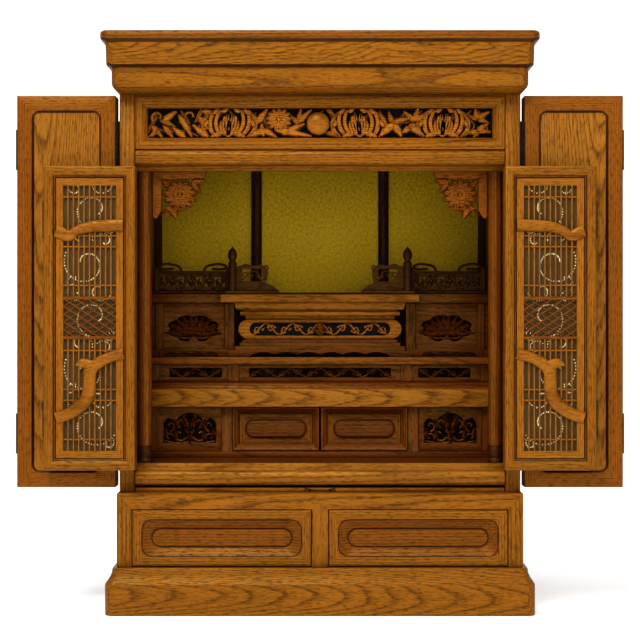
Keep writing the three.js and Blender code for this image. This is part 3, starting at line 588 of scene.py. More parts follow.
class Piece:
    """One piece of the cabinet while it is being made."""

    def __init__(self) -> None:
        """Starts with an empty mesh."""
        self.bm = bmesh.new()

    @classmethod
    def copied(cls, node: str) -> "Piece":
        """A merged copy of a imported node's mesh, with its flat faces joined up."""
        piece = cls()
        piece.bm.from_mesh(bpy.data.objects[node].data)
        bmesh.ops.remove_doubles(piece.bm, verts=piece.bm.verts, dist=WELD)
        bmesh.ops.dissolve_limit(
            piece.bm, angle_limit=radians(1), verts=piece.bm.verts, edges=piece.bm.edges
        )
        return piece

    def loft(self, outlines: Sequence[Sequence[Vector]], closed: bool = False) -> "Piece":
        """Draws a face out through a row of outlines.

        Args:
            outlines: closed outlines in order, all with as many points.
            closed: whether the row runs round to its start.

        Returns:
            The piece itself.
        """
        place = self.bm.verts.layers.int.get("place") or self.bm.verts.layers.int.new("place")
        first = self.bm.faces.new([self.bm.verts.new(point) for point in outlines[0]])
        for index, vert in enumerate(first.verts):
            vert[place] = index
        face = first
        for outline in [*outlines[1:], *([outlines[0]] if closed else [])]:
            made = bmesh.ops.extrude_face_region(self.bm, geom=[face])["geom"]
            if face is not first:
                bmesh.ops.delete(self.bm, geom=[face], context="FACES_ONLY")
            face = next(item for item in made if isinstance(item, bmesh.types.BMFace))
            for vert in face.verts:
                vert.co = outline[vert[place]]
        if closed:
            seam = [*face.verts, *first.verts]
            bmesh.ops.delete(self.bm, geom=[first, face], context="FACES_ONLY")
            bmesh.ops.remove_doubles(self.bm, verts=seam, dist=MERGE)
        return self

    def framed(self, area: Area, steps: Sequence[tuple[float, float, float]], closed: bool = False,
               segments: int = 6) -> "Piece":
        """Works a board or a frame in steps, from its outside to its middle.

        Args:
            area: the board's outline.
            steps: inset, depth along Y and corner radius of each step.
            closed: whether the steps run round a frame's section to their start.
            segments: edges in each corner.

        Returns:
            The piece itself.
        """
        outlines = []
        for inset, y, radius in steps:
            a = area.inset(inset)
            outline = rounded(rectangle(a.x0, a.x1, a.z0, a.z1), [radius] * 4, segments)
            outlines.append([Vector((x, y, z)) for x, z in outline])
        return self.loft(outlines, closed)

    def bar(self, low: Sequence[float], high: Sequence[float], ease: float = 0.0) -> "Piece":
        """Adds a straight bar between two corners, with eased edges.

        Args:
            low: its lowest corner.
            high: its highest corner.
            ease: the width of its bevelled edges.

        Returns:
            The piece itself.
        """
        size = Vector(high) - Vector(low)
        place = Matrix.Translation((Vector(low) + Vector(high)) / 2) @ Matrix.Diagonal((*size, 1))
        made = bmesh.ops.create_cube(self.bm, size=1, matrix=place)["verts"]
        if ease:
            edges = list({edge for vert in made for edge in vert.link_edges})
            self.bevel(edges, ease, 1)
        return self

    def bevel(self, edges: Iterable[bmesh.types.BMEdge], width: float, segments: int = 2) -> None:
        """Rounds edges over.

        Args:
            edges: the edges.
            width: how far the rounding reaches from each.
            segments: its steps.
        """
        bmesh.ops.bevel(
            self.bm, geom=list(edges), offset=width, offset_type="OFFSET", segments=segments,
            profile=0.5, affect="EDGES", clamp_overlap=True, material=-1,
        )

    def soften(self, width: float, sharp: float = 40.0, segments: int = 2) -> "Piece":
        """Rounds every sharp edge.

        Args:
            width: how far the rounding reaches.
            sharp: edges that turn by more degrees than this are rounded.
            segments: its steps.

        Returns:
            The piece itself.
        """
        limit = radians(sharp)
        self.bevel(
            [e for e in self.bm.edges if len(e.link_faces) == 2 and e.calc_face_angle(0) > limit],
            width, segments,
        )
        return self

    def lathe(self, profile: Sequence[Pair], centre: Sequence[float], steps: int = 32,
              axis: Sequence[float] = (0, 0, 1)) -> "Piece":
        """Turns a profile round an axis.

        Args:
            profile: radius and height above the centre, from the bottom to the top of the axis.
            centre: the foot of the axis.
            steps: faces round the piece.
            axis: the direction of the axis, Z or -Y.

        Returns:
            The piece itself.
        """
        before = set(self.bm.verts)
        verts = [self.bm.verts.new((radius, 0, height)) for radius, height in profile]
        edges = [self.bm.edges.new(pair) for pair in zip(verts, verts[1:])]
        bmesh.ops.spin(
            self.bm, geom=verts + edges, cent=(0, 0, 0), axis=(0, 0, 1), angle=tau, steps=steps,
            use_merge=True,
        )
        made = [vert for vert in self.bm.verts if vert not in before]
        bmesh.ops.remove_doubles(self.bm, verts=made, dist=MERGE)
        made = [vert for vert in self.bm.verts if vert not in before]
        turn = Vector((0, 0, 1)).rotation_difference(Vector(axis)).to_matrix().to_4x4()
        bmesh.ops.transform(self.bm, matrix=Matrix.Translation(Vector(centre)) @ turn, verts=made)
        return self

    def mirrored(self, side: Side) -> "Piece":
        """Turns a piece made for the right side into one for the given side.

        Args:
            side: the side.

        Returns:
            The piece itself.
        """
        if side is Side.LEFT:
            bmesh.ops.scale(self.bm, vec=(-1, 1, 1), verts=self.bm.verts)
        return self

    def done(self, name: str, finishes: Finish | Sequence[Finish], body: str = "root", slot: str = "wood",
             pick: Optional[Picker] = None, sharp: float = 38.0) -> bpy.types.Object:
        """Turns the mesh into a finished object that rides on a body.

        Args:
            name: the piece's name.
            finishes: its finish, or several to choose from.
            body: the body that it moves with.
            slot: the record's material slot; not used.
            pick: gives the index of a face's finish from its middle and normal.
            sharp: edges that turn by more degrees than this stay crisp.

        Returns:
            The object.
        """
        bmesh.ops.recalc_face_normals(self.bm, faces=self.bm.faces)
        limit = radians(sharp)
        for edge in self.bm.edges:
            edge.smooth = len(edge.link_faces) == 2 and edge.calc_face_angle(0) < limit
        for face in self.bm.faces:
            face.smooth = True
            if pick:
                face.material_index = pick(face.calc_center_median(), face.normal)
        mesh = bpy.data.meshes.new(name)
        self.bm.to_mesh(mesh)
        self.bm.free()
        made = bpy.data.objects.new(name, mesh)
        show(made)
        for finish in finishes if isinstance(finishes, Sequence) else [finishes]:
            mesh.materials.append(dressing(finish))
        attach(made, body)
        LOG.info("%s: %d faces on %s", name, len(mesh.polygons), body)
        return made

    def stand_for(self, node: str, finishes: Finish | Sequence[Finish], **settings: Any) -> bpy.types.Object:
        """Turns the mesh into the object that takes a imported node's place and name.

        Args:
            node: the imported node.
            finishes: the piece's finish, or several to choose from.
            settings: what else "done" is told.

        Returns:
            The object.
        """
        made = self.done(node, finishes, **settings)
        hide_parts(node)
        return made


def dress_node(node: str, finish: Finish) -> None:
    """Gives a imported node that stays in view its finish.

    Args:
        node: the node.
        finish: its finish.
    """
    materials = bpy.data.objects[node].data.materials
    materials.clear()
    materials.append(dressing(finish))


def mitred(area: Area, rail: int, stile: int, inner: Optional[Area] = None, field: int = 0,
           quirk: Optional[int] = None) -> Picker:
    """A picker for a mitred frame.

    Args:
        area: the frame's outline on the right side of the cabinet, or on both sides of its middle.
        rail: the finish of its top and bottom.
        stile: the finish of its sides.
        inner: the part inside the frame, if it has one.
        field: the finish of that part.
        quirk: the finish of steep steps inside the outline: painted shade in the moulding's grooves.

    Returns:
        The picker.
    """
    bounds = area.inset(3 * MM)

    def pick(middle: Vector, normal: Vector) -> int:
        """The finish at a face's middle."""
        x = middle.x if area.x0 <= middle.x <= area.x1 else -middle.x
        inside = bounds.x0 < x < bounds.x1 and bounds.z0 < middle.z < bounds.z1
        # steep steps inside the outline take painted shade
        if quirk is not None and inside and abs(normal.y) < STEEP:
            return quirk
        if inner and inner.x0 < x < inner.x1 and inner.z0 < middle.z < inner.z1:
            return field
        return rail if area.on_rail(x, middle.z) else stile

    return pick


# ---- carving


def rectangle(x0: float, x1: float, z0: float, z1: float) -> list[Pair]:
    """The corners of an upright rectangle."""
    return [(x0, z0), (x1, z0), (x1, z1), (x0, z1)]


def stadium(x0: float, x1: float, z0: float, z1: float, steps: int = 10) -> list[Pair]:
    """A rectangle with half-round ends.

    Args:
        x0: its left end.
        x1: its right end.
        z0: its underside.
        z1: its top.
        steps: edges in each end.

    Returns:
        The outline's points.
    """
    radius, middle = (z1 - z0) / 2, (z0 + z1) / 2
    points = []
    for end, x in enumerate((x1 - radius, x0 + radius)):
        for i in range(steps + 1):
            angle = pi * (i / steps - 0.5 + end)
            points.append((x + radius * cos(angle), middle + radius * sin(angle)))
    return points


def cloud(x: float, z: float, wide: float, tall: float, lobes: int, notch: float = 0.0) -> list[Pair]:
    """A cloud-shaped outline: an oval of round lobes that meet in points.

    Args:
        x: its middle.
        z: its middle.
        wide: half its width.
        tall: half its height.
        lobes: how many lobes run round it.
        notch: how far the bottom is pushed up in the middle, as a share of its height.

    Returns:
        The outline's points.
    """
    points = []
    for i in range(lobes * 8):
        angle = -pi / 2 + tau * i / (lobes * 8)
        swell = 0.86 + 0.14 * abs(sin(lobes * (angle + pi / 2) / 2))
        low = max(0.0, 1 - abs(i / (lobes * 8) * 2 - (0 if i < lobes * 4 else 2)) * 14)
        points.append((
            x + wide * swell * cos(angle),
            z + tall * (swell * sin(angle) + notch * low),
        ))
    return points


BLADE_THICKNESS = 0.0013


@dataclass
class Blade:
    """A leaf or a petal, curved along its length and shaped across it."""

    foot: Vector
    tip: Vector
    wide: float
    bend: float
    lift: float
    teeth: int

    def add_to(self, bm: bmesh.types.BMesh, face: float) -> None:
        """Adds the blade to a mesh.

        Args:
            bm: the mesh.
            face: the depth along Y of the face that it stands on.
        """
        way = self.tip - self.foot
        side = Vector((-way.y, way.x)).normalized()
        steps = max(4 * self.teeth, 8)
        grid = bmesh.ops.create_grid(bm, x_segments=steps, y_segments=6, size=1)["verts"]
        # the outer strips of a blade take the piece's second finish: painted shade along its edges
        for cell in {item for vert in grid for item in vert.link_faces}:
            cell.material_index = int(abs(cell.calc_center_median().y) > 0.67)
        for vert in grid:
            t, s = (vert.co.x + 1) / 2, vert.co.y
            swing = 4 * t * (1 - t)
            middle = self.foot + way * t + side * self.bend * swing
            run = way + side * self.bend * 4 * (1 - 2 * t)
            across = Vector((-run.y, run.x)).normalized()
            if self.teeth:
                width = self.wide / 2 * max(min(t / 0.3, (1 - t) / 0.7) ** 0.8, 0.06)
                width *= 0.72 + 0.5 * (t * self.teeth % 1)
                proud = self.wide * (0.3 * (1 - abs(s)) + 0.06 * swing) - 0.0012 * (abs(s) < 0.1)
            else:
                width = self.wide / 2 * max(sin(pi * t ** 0.8) ** 0.6, 0.12)
                proud = self.wide * (0.3 * swing - 0.2 * (abs(s) < 0.1) - 0.16 * (abs(s) > 0.9))
            spot = middle + across * width * s
            vert.co = Vector((spot.x, face - self.lift - proud, spot.y))
        faces = list({item for vert in grid for item in vert.link_faces})
        bmesh.ops.recalc_face_normals(bm, faces=faces)
        inwards = 1 if faces[0].normal.y > 0 else -1
        bmesh.ops.solidify(bm, geom=faces, thickness=inwards * BLADE_THICKNESS)


class Carving:
    """Relief made of tapering strokes and of broad blades, as gouges leave them."""

    def __init__(self, face: float, flat: float = 0.6) -> None:
        """Starts an empty relief.

        Args:
            face: the depth along Y where the strokes have their middles.
            flat: how deep a stroke is, as a share of its width.
        """
        self.face = face
        self.flat = flat
        self.strokes: list[tuple[list[Vector], list[float]]] = []
        self.blades: list[Blade] = []

    def stroke(self, points: Sequence[Pair], widths: float | Sequence[float], lift: float = 0.0) -> None:
        """Adds a smooth stroke.

        Args:
            points: where it runs in X and Z.
            widths: its width at each point, or one width for all of it.
            lift: how far it stands in front of the face.
        """
        wide = list(widths) if isinstance(widths, Sequence) else [widths] * len(points)
        self.strokes.append(([Vector((x, -lift / self.flat, z)) for x, z in points], wide))

    def blade(self, foot: Pair, tip: Pair, wide: float, bend: float = 0.0, lift: float = 0.0,
              teeth: int = 0) -> None:
        """Adds a broad blade: a toothed leaf, or a hollowed petal when it has no teeth.

        Args:
            foot: where it starts.
            tip: where it ends.
            wide: its greatest width.
            bend: how far its middle swings to the left of the straight line.
            lift: how far it stands in front of the face.
            teeth: teeth on each edge.
        """
        self.blades.append(Blade(Vector(foot), Vector(tip), wide, bend, lift, teeth))

    def leaf(self, x: float, z: float, length: float, angle: float, lift: float = 0.0) -> None:
        """Adds a leaf with two side lobes on each edge.

        Args:
            x: its foot.
            z: its foot.
            length: its length.
            angle: its direction in the X-Z plane.
            lift: how far it stands proud.
        """
        def along(share: float, turn: float = 0.0, reach: float = 0.0) -> Pair:
            """A point on the midrib, or off it by a turned reach."""
            foot = (x + length * share * cos(angle), z + length * share * sin(angle))
            return (foot[0] + reach * cos(angle + turn), foot[1] + reach * sin(angle + turn))

        self.blade(along(0), along(1), 0.42 * length, 0, lift + 0.0004, 3)
        for i in range(2):
            for side in (-1, 1):
                tip = along(0.1 + 0.26 * i, side * (1.0 - 0.2 * i), length * (0.52 - 0.08 * i))
                self.blade(along(0.08 + 0.26 * i), tip, 0.26 * length, -side * 0.03 * length, lift, 2)

    def rose(self, x: float, z: float, wide: float, tall: float, lift: float = 0.0) -> None:
        """Adds a flower seen from the front: rings of hollowed petals round a tight middle.

        Args:
            x: its middle.
            z: its middle.
            wide: half its width.
            tall: half its height.
            lift: how far it stands proud.
        """
        for ring, (share, count) in enumerate(((1.0, 13), (0.72, 11), (0.44, 7))):
            for i in range(count):
                angle = tau * (i + 0.5 * ring) / count + 0.1
                way = (wide * cos(angle), tall * sin(angle))
                self.blade(
                    (x + 0.12 * way[0], z + 0.12 * way[1]), (x + share * way[0], z + share * way[1]),
                    4.4 * wide * share / count + 0.0004, 0, lift + 0.0009 * ring,
                )
        self.stroke([(x - wide * 0.06, z), (x + wide * 0.06, z)], wide * 0.3, lift + 0.003)

    def bloom(self, x: float, z: float, half: float, height: float, lift: float = 0.0,
              lean: float = 0.0) -> None:
        """Adds a chrysanthemum seen from the side: clawed petals curl up round a tight crown.

        Args:
            x: its middle.
            z: its foot.
            half: half its width.
            height: its height.
            lift: how far it stands proud.
            lean: how far its top leans along X.
        """
        def place(across: float, up: float) -> Pair:
            """A place in the flower, across and up as shares of its size."""
            return (x + half * across + lean * up, z + height * up)

        claws = ((0.72, 0.74, 0.86, 0.26, 0.145), (0.5, 0.56, 0.99, 0.2, 0.135),
                 (0.27, 0.38, 0.94, 0.19, 0.125), (0.8, 0.98, 0.42, 0.1, 0.11), (0.5, 0.76, 0.44, 0.05, 0.12))
        for i, (start, end, top, bulge, wide) in enumerate(claws):
            for side in (-1, 1):
                self.blade(
                    place(side * start, 0.02 + 0.02 * i), place(side * end, top), half * wide,
                    -side * half * bulge, lift + 0.0011 * (i % 3),
                )
        for x0, z0, x1, z1 in ((0.72, 0.84, 0.5, 0.98), (0.97, 0.4, 0.86, 0.58), (0.3, 0.1, 0.62, 0.02),
                               (0.34, 0.92, 0.14, 0.99)):
            for side in (-1, 1):
                self.blade(
                    place(side * x0, z0), place(side * x1, z1), half * 0.12, side * half * 0.04, lift + 0.002
                )
        for i, rise in ((-3, 0.56), (3, 0.56), (-2, 0.72), (2, 0.72), (-1, 0.8), (1, 0.8), (0, 0.66)):
            self.blade(
                place(0.045 * i, 0.1), place(0.1 * i, rise), half * 0.115, -0.026 * i * half,
                lift + 0.0044 - 0.0008 * abs(i),
            )
        lip = ((-0.42, 0.02, 0.05), (-0.22, 0.16, 0.09), (0, 0.05, 0.07), (0.22, 0.16, 0.09),
               (0.42, 0.02, 0.05))
        points = [place(across, up) for across, up, _ in lip]
        self.stroke(points, [half * width for *_, width in lip], lift + 0.0036)

    def scroll(self, x: float, z: float, radius: float, start: float, sweep: float, width: float,
               lift: float = 0.0, end: float = 0.22, lead: Sequence[Pair] = ()) -> None:
        """Adds a curl that winds inwards and ends in a round knob.

        Args:
            x: the middle of the curl.
            z: the middle of the curl.
            radius: its radius where it starts.
            start: the angle where it starts.
            sweep: the angle that it winds through.
            width: the stroke's width.
            lift: how far it stands proud.
            end: the last radius as a share of the first.
            lead: points that the stroke passes before it winds.
        """
        count = 8
        points, widths = list(lead), [width * 0.7] * len(lead)
        for i in range(count + 1):
            share = i / count
            reach = radius * (1 + (end - 1) * share)
            angle = start + sweep * share
            points.append((x + reach * cos(angle), z + reach * sin(angle)))
            widths.append(width * (1 - 0.35 * share))
        widths[-1] = width * 1.25
        self.stroke(points, widths, lift)

    def vine(self, x: float, z: float, half: float, height: float, lobes: int, width: float) -> None:
        """Adds a running vine on both sides of a centre, each bend filled with a curl and leaves.

        Args:
            x: the centre.
            z: the centre.
            half: how far it runs to each side.
            height: how far it swings from bottom to top.
            lobes: bends on each side.
            width: the stem's width.
        """
        pitch = half / lobes
        for side in (-1, 1):
            for i in range(lobes):
                up = 1 if i % 2 else -1
                start = x + side * pitch * i
                stem = [(start + side * pitch * s, z - up * height * 0.44 * cos(pi * s))
                        for s in (0, 0.25, 0.5, 0.75, 1)]
                self.stroke(stem, [width * 0.7, width, width, width, width * 0.7])
                middle, reach = start + side * pitch * 0.62, height * 0.3
                turn = pi / 2 * up
                self.scroll(middle, z, reach, turn + side * up * 0.4, -side * up * 4.6, width * 0.9, 0.0003)
                for lean, share in ((0.5, 0.3), (1.0, 0.85)):
                    x0, z0 = start + side * pitch * share, z + up * height * 0.1
                    angle = (pi / 2) * up * lean + (0 if side > 0 else pi * (1 - lean))
                    tip = (x0 + reach * cos(angle), z0 + reach * sin(angle))
                    self.stroke([(x0, z0), tip], [width * 1.4, width * 0.3], 0.0004)

    def join_to(self, piece: Piece, smooth: int = 4, round_steps: int = 1) -> Piece:
        """Adds the relief to a piece.

        Args:
            piece: the piece that takes it.
            smooth: steps between a stroke's points.
            round_steps: how finely a stroke's section is rounded.

        Returns:
            The piece.
        """
        curve = bpy.data.curves.new("relief", "CURVE")
        curve.dimensions = "3D"
        curve.bevel_depth = 1.0
        curve.bevel_resolution = round_steps
        curve.use_fill_caps = True
        curve.resolution_u = smooth
        for points, widths in self.strokes:
            spline = curve.splines.new("BEZIER")
            spline.bezier_points.add(len(points) - 1)
            for knot, point, width in zip(spline.bezier_points, points, widths):
                knot.co = point
                knot.radius = width / 2
                knot.handle_left_type = knot.handle_right_type = "AUTO"
        made = add_curve(piece, curve)
        bmesh.ops.scale(piece.bm, vec=(1, self.flat, 1), verts=made)
        bmesh.ops.translate(piece.bm, vec=(0, self.face, 0), verts=made)
        for blade in self.blades:
            blade.add_to(piece.bm, self.face)
        return piece


def add_curve(piece: Piece, curve: bpy.types.Curve) -> list[bmesh.types.BMVert]:
    """Makes a curve a mesh, adds it to a piece and removes the curve.

    Args:
        piece: the piece that takes it.
        curve: the curve.

    Returns:
        The new vertices.
    """
    holder = bpy.data.objects.new(curve.name, curve)
    show(holder)
    graph = bpy.context.evaluated_depsgraph_get()
    mesh = bpy.data.meshes.new_from_object(holder.evaluated_get(graph))
    before = set(piece.bm.verts)
    piece.bm.from_mesh(mesh)
    bpy.data.objects.remove(holder)
    bpy.data.curves.remove(curve)
    bpy.data.meshes.remove(mesh)
    return [vert for vert in piece.bm.verts if vert not in before]


def fretwork(piece: Piece, outlines: Sequence[Sequence[Pair]], front: float, back: float,
             ease: float = 0.0004) -> Piece:
    """Adds a sawn board with eased edges to a piece.

    Args:
        piece: the piece that takes it.
        outlines: the board's outline and then its openings, as points in X and Z.
        front: its front face along Y.
        back: its back face along Y.
        ease: the width of its rounded edges.

    Returns:
        The piece.
    """
    curve = bpy.data.curves.new("fret", "CURVE")
    curve.dimensions = "2D"
    curve.fill_mode = "BOTH"
    curve.extrude = (back - front) / 2 - ease
    curve.bevel_depth = ease
    curve.bevel_resolution = 1
    curve.offset = -ease
    for outline in outlines:
        spline = curve.splines.new("POLY")
        spline.points.add(len(outline) - 1)
        for knot, (x, z) in zip(spline.points, outline):
            knot.co = (x, z, 0, 1)
        spline.use_cyclic_u = True
    made = add_curve(piece, curve)
    stand = Matrix.Translation((0, (front + back) / 2, 0)) @ Matrix.Rotation(pi / 2, 4, "X")
    bmesh.ops.transform(piece.bm, matrix=stand, verts=made)
    bmesh.ops.remove_doubles(piece.bm, verts=made, dist=MERGE)
    return piece


# ---- case

PLAIN_LEVEL = Wood("wood_level", grain=Grain.LEVEL, heart=(0.1, 0.35), ring=0.003, wander=0.006)
PLAIN_UPRIGHT = Wood("wood_upright", grain=Grain.UPRIGHT, heart=(0.02, 0.35), ring=0.003, wander=0.006)
PLAIN_INWARD = Wood("wood_inward", grain=Grain.INWARD, heart=(0.05, 0.3), ring=0.003, wander=0.006)
INSIDE_LEVEL = replace(PLAIN_LEVEL, name="inside_level", tone=Tone.BROWN)
INSIDE_UPRIGHT = replace(PLAIN_UPRIGHT, name="inside_upright", tone=Tone.BROWN)
DARK_UPRIGHT = replace(PLAIN_UPRIGHT, name="dark_upright", tone=Tone.DARK, gloss=0.55)
DARK_LEVEL = replace(PLAIN_LEVEL, name="dark_level", tone=Tone.DARK, gloss=0.55)
CARVED = Wood("carved", Tone.ORANGE, Grain.LEVEL, heart=(0.1, 0.3), ring=0.0022, wander=0.004, gloss=0.5)
# Dark finish for steep steps, grooves and carving edges: painted shade.
PAINTED_SHADE = replace(PLAIN_LEVEL, name="quirk", tone=Tone.DARK, heart=(0.3, 0.3))
IRON = Metal("iron", srgb(9, 7, 6), srgb(34, 28, 24), 0.5)
POST = mm(178, 186.5)  # the edges of the inner posts beside the shelves, from the middle


@dataclass
class Case:
    """The outside of the cabinet: plinth, base, side boards, cornice and the rails of the doorway."""

    corner: float = 9 * MM
    ease: float = 0.6 * MM

    def build(self) -> None:
        """Builds every piece of the case."""
        self.tiers()
        self.base()
        self.walls()
        self.rails()
        self.tray()

    def tier(self, name: str, steps: Sequence[tuple[float, float, float]], finishes: Sequence[Finish],
             pick: Picker) -> None:
        """Builds a board that runs round the front and the sides with a moulded edge.

        Args:
            name: the piece and the node that it stands for.
            steps: height above the board's underside, and how far the side and the front lie in
                from the board's widest, in millimetres.
            finishes: its finishes.
            pick: chooses one for a face.
        """
        low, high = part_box(name)
        outlines = []
        for height, side, front in steps:
            half, y0 = high.x - side * MM, low.y + front * MM
            corners = ((-half, y0), (half, y0), (half, high.y), (-half, high.y))
            outline = rounded(corners, (self.corner, self.corner, 0, 0), 8)
            outlines.append([Vector((x, y, low.z + height * MM)) for x, y in outline])
        Piece().loft(outlines).stand_for(name, finishes, pick=pick, sharp=24)

    def tiers(self) -> None:
        """Builds the plinth and the cornice."""
        cove = [(33.5 + 13.5 * t, 0.6 + 6.3 * sin(t * pi / 2), 0.6 + 4.6 * sin(t * pi / 2))
                for t in (0, 0.12, 0.25, 0.4, 0.55, 0.7, 0.85, 1)]
        plinth = [(0, 1.2, 1.2), (0.5, 0.4, 0.4), (1.2, 0, 0), (31.5, 0, 0), (32.9, 0.2, 0.2), *cove,
                  (47.4, 7.1, 5.3), (49, 7.8, 6)]
        front = replace(
            PLAIN_LEVEL, name="plinth_front", heart=(0.021, 0.196), lean=0.05, ring=0.0018, wander=0.003
        )
        self.tier("plinth", plinth, (front, PLAIN_INWARD), self.by_side(0, 1))
        swell = [(8.2 * t, 17.2 - 6.1 * sin(t * pi / 2), 17 - 8 * sin(t * pi / 2))
                 for t in (0, 0.15, 0.3, 0.45, 0.6, 0.8, 1)]
        cornice = [*swell, (8.8, 10.9, 8.8), (24.2, 10.9, 8.8), (25.2, 10.2, 8), (26.4, 7.2, 4.6),
                   (27.2, 6.1, 3.6), (28.4, 5.8, 3.3), (50.2, 5.1, 3), (51.2, 4.1, 2.2), (52.8, 1.4, 0.8),
                   (53.6, 0.4, 0.2), (54.6, 0, 0), (60, 0, 0), (61.2, 0.5, 0.5), (62.2, 1.7, 1.6)]
        fascia = replace(
            PLAIN_LEVEL, name="fascia", heart=(0.6, 0.2), lean=0.05, ring=0.0019, wander=0.008,
            figure=(13, 30),
        )
        band = replace(PLAIN_LEVEL, name="cornice_band", heart=(0.52, 0.4), ring=0.0024)
        top = replace(PLAIN_LEVEL, name="cornice_top", heart=(0.66, 0.2), tone=Tone.AMBER, wander=0.015)
        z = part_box("cornice")[0].z
        step_foot, band_top, fascia_top = 24, 26.4, 51

        def pick(middle: Vector, normal: Vector) -> int:
            """The front's finish by tier, the side's, or painted shade on the underside of a step."""
            height = (middle.z - z) / MM
            if normal.z < -0.3 and height > step_foot:
                return 4
            if abs(normal.x) > abs(normal.y) and abs(normal.z) < 0.9:
                return 3
            return 1 if height < band_top else 0 if height < fascia_top else 2

        self.tier("cornice", cornice, (fascia, band, top, PLAIN_INWARD, PAINTED_SHADE), pick)

    @staticmethod
    def by_side(front: int, side: int) -> Picker:
        """A picker that tells side faces from all others."""
        return lambda middle, normal: side if abs(normal.x) > max(abs(normal.y), abs(normal.z)) else front

    def base(self) -> None:
        """Builds the base's face frame and dresses the carcase behind it."""
        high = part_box("base_frame")[1]
        rail_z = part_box("base_drawer_left")[1].z
        point_z = rail_z + 8 * MM  # the top of the mitred point between the drawers
        level = replace(PLAIN_LEVEL, name="base_rail", heart=(0.11, 0.12), lean=0.03, ring=0.0042)

        def pick(middle: Vector, normal: Vector) -> int:
            """Level grain above the drawers, up to the mitres, and upright grain elsewhere."""
            x = abs(middle.x)
            in_corner = high.x - x < high.z - middle.z
            in_point = middle.z < point_z - x
            return 1 if middle.z < rail_z or in_corner or in_point else 0

        frame = Piece.copied("base_frame").soften(self.ease)
        cuts = [((0, 0, rail_z), (0, 0, 1))]
        for turn in (-1, 1):
            cuts += [((turn * high.x, 0, high.z), (1, 0, -turn)), ((0, 0, point_z), (1, 0, turn))]
        for co, direction in cuts:
            geometry = [*frame.bm.verts, *frame.bm.edges, *frame.bm.faces]
            bmesh.ops.bisect_plane(frame.bm, geom=geometry, plane_co=co, plane_no=direction)
        frame.stand_for("base_frame", [level, PLAIN_UPRIGHT], pick=pick)
        case = Piece.copied("base_case").soften(self.ease)
        case.stand_for("base_case", [PLAIN_LEVEL, PLAIN_INWARD], pick=self.by_side(0, 1))

    def walls(self) -> None:
        """Builds the side boards and dresses the back and the ceiling."""
        for side in Side:
            node = side.name_of("side")
            edge = Wood(side.name_of("side_edge"), heart=(0.06 * side.value, 0.3), ring=0.0026)
            board = Wood(
                side.name_of("side_board"), heart=(0.26 * side.value, 0.01), lean=0.06, ring=0.005,
                wander=0.02,
            )
            Piece.copied(node).soften(0.5 * MM).stand_for(node, [edge, board], pick=self.by_side(0, 1))
        dress_node("back_panel", Wood("back", heart=(0.01, -0.13), lean=0.05, ring=0.006))
        dress_node("ceiling", DARK_LEVEL)
        dress_node("floor", INSIDE_LEVEL)

    def rails(self) -> None:
        """Builds the sill and the head of the doorway."""
        sill = replace(PLAIN_LEVEL, name="sill", tone=Tone.HONEY, heart=(0.16, 0.14), lean=0.03, ring=0.0045)
        head = replace(PLAIN_LEVEL, name="door_head", heart=(0.7, 0.2), ring=0.0028)
        for node, finish in (("sill", sill), ("door_head", head)):
            Piece.copied(node).soften(1.3 * MM, 30, 3).stand_for(node, finish)

    def tray(self) -> None:
        """Builds the pull-out tray and its little curled pull."""
        Piece.copied("tray").soften(self.ease).stand_for("tray", PLAIN_LEVEL, body="tray")
        low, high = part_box("tray_pull")
        z, half = (low.z + high.z) / 2, (high.x - low.x) / 2
        pull = Carving(low.y + 1.3 * MM, 0.75)
        for side in (-1, 1):
            pull.scroll(
                side * (half - 2.2 * MM), z + 0.2 * MM, 1.6 * MM, pi / 2, -side * 5.0, 1.0 * MM,
                lead=[(0, z), (side * half * 0.6, z)],
            )
        piece = pull.join_to(Piece(), 5, 2)
        for side in (-1, 1):
            x = side * (half - 6 * MM)
            piece.bar((x - 1.2 * MM, low.y + 0.8 * MM, z - MM), (x + 1.2 * MM, high.y, z + MM), 0.3 * MM)
        piece.stand_for("tray_pull", IRON, body="tray", slot="iron")


# ---- drawers

BASE_DRAWER_STEPS = (  # inset, depth and corner radius in millimetres
    (0, 1.6, 0.4), (0.3, 0.8, 0.5), (1.1, 0.15, 0.6), (1.9, 0, 0.8), (8.8, 0, 11), (9.6, 0.3, 11.4),
    (10.2, 1.5, 11.6), (10.8, 2, 11.8), (19.2, 5.8, 10), (19.7, 6.1, 9.6), (20.1, 5, 9.2), (20.8, 4.1, 8.5),
    (22, 3.7, 7.3),
)
SMALL_DRAWER_STEPS = (
    (0, 1, 0.4), (0.3, 0.4, 0.5), (1, 0, 0.6), (1.8, 0, 0.6), (7.8, 4.2, 0.5), (8.2, 4.9, 0.5),
    (8.7, 5, 0.5), (13.6, 5, 9.6), (14, 5.7, 9.8), (14.4, 5.7, 9.6), (14.9, 4.5, 9.2), (15.8, 3.8, 8.5),
    (17, 3.6, 7.3),
)


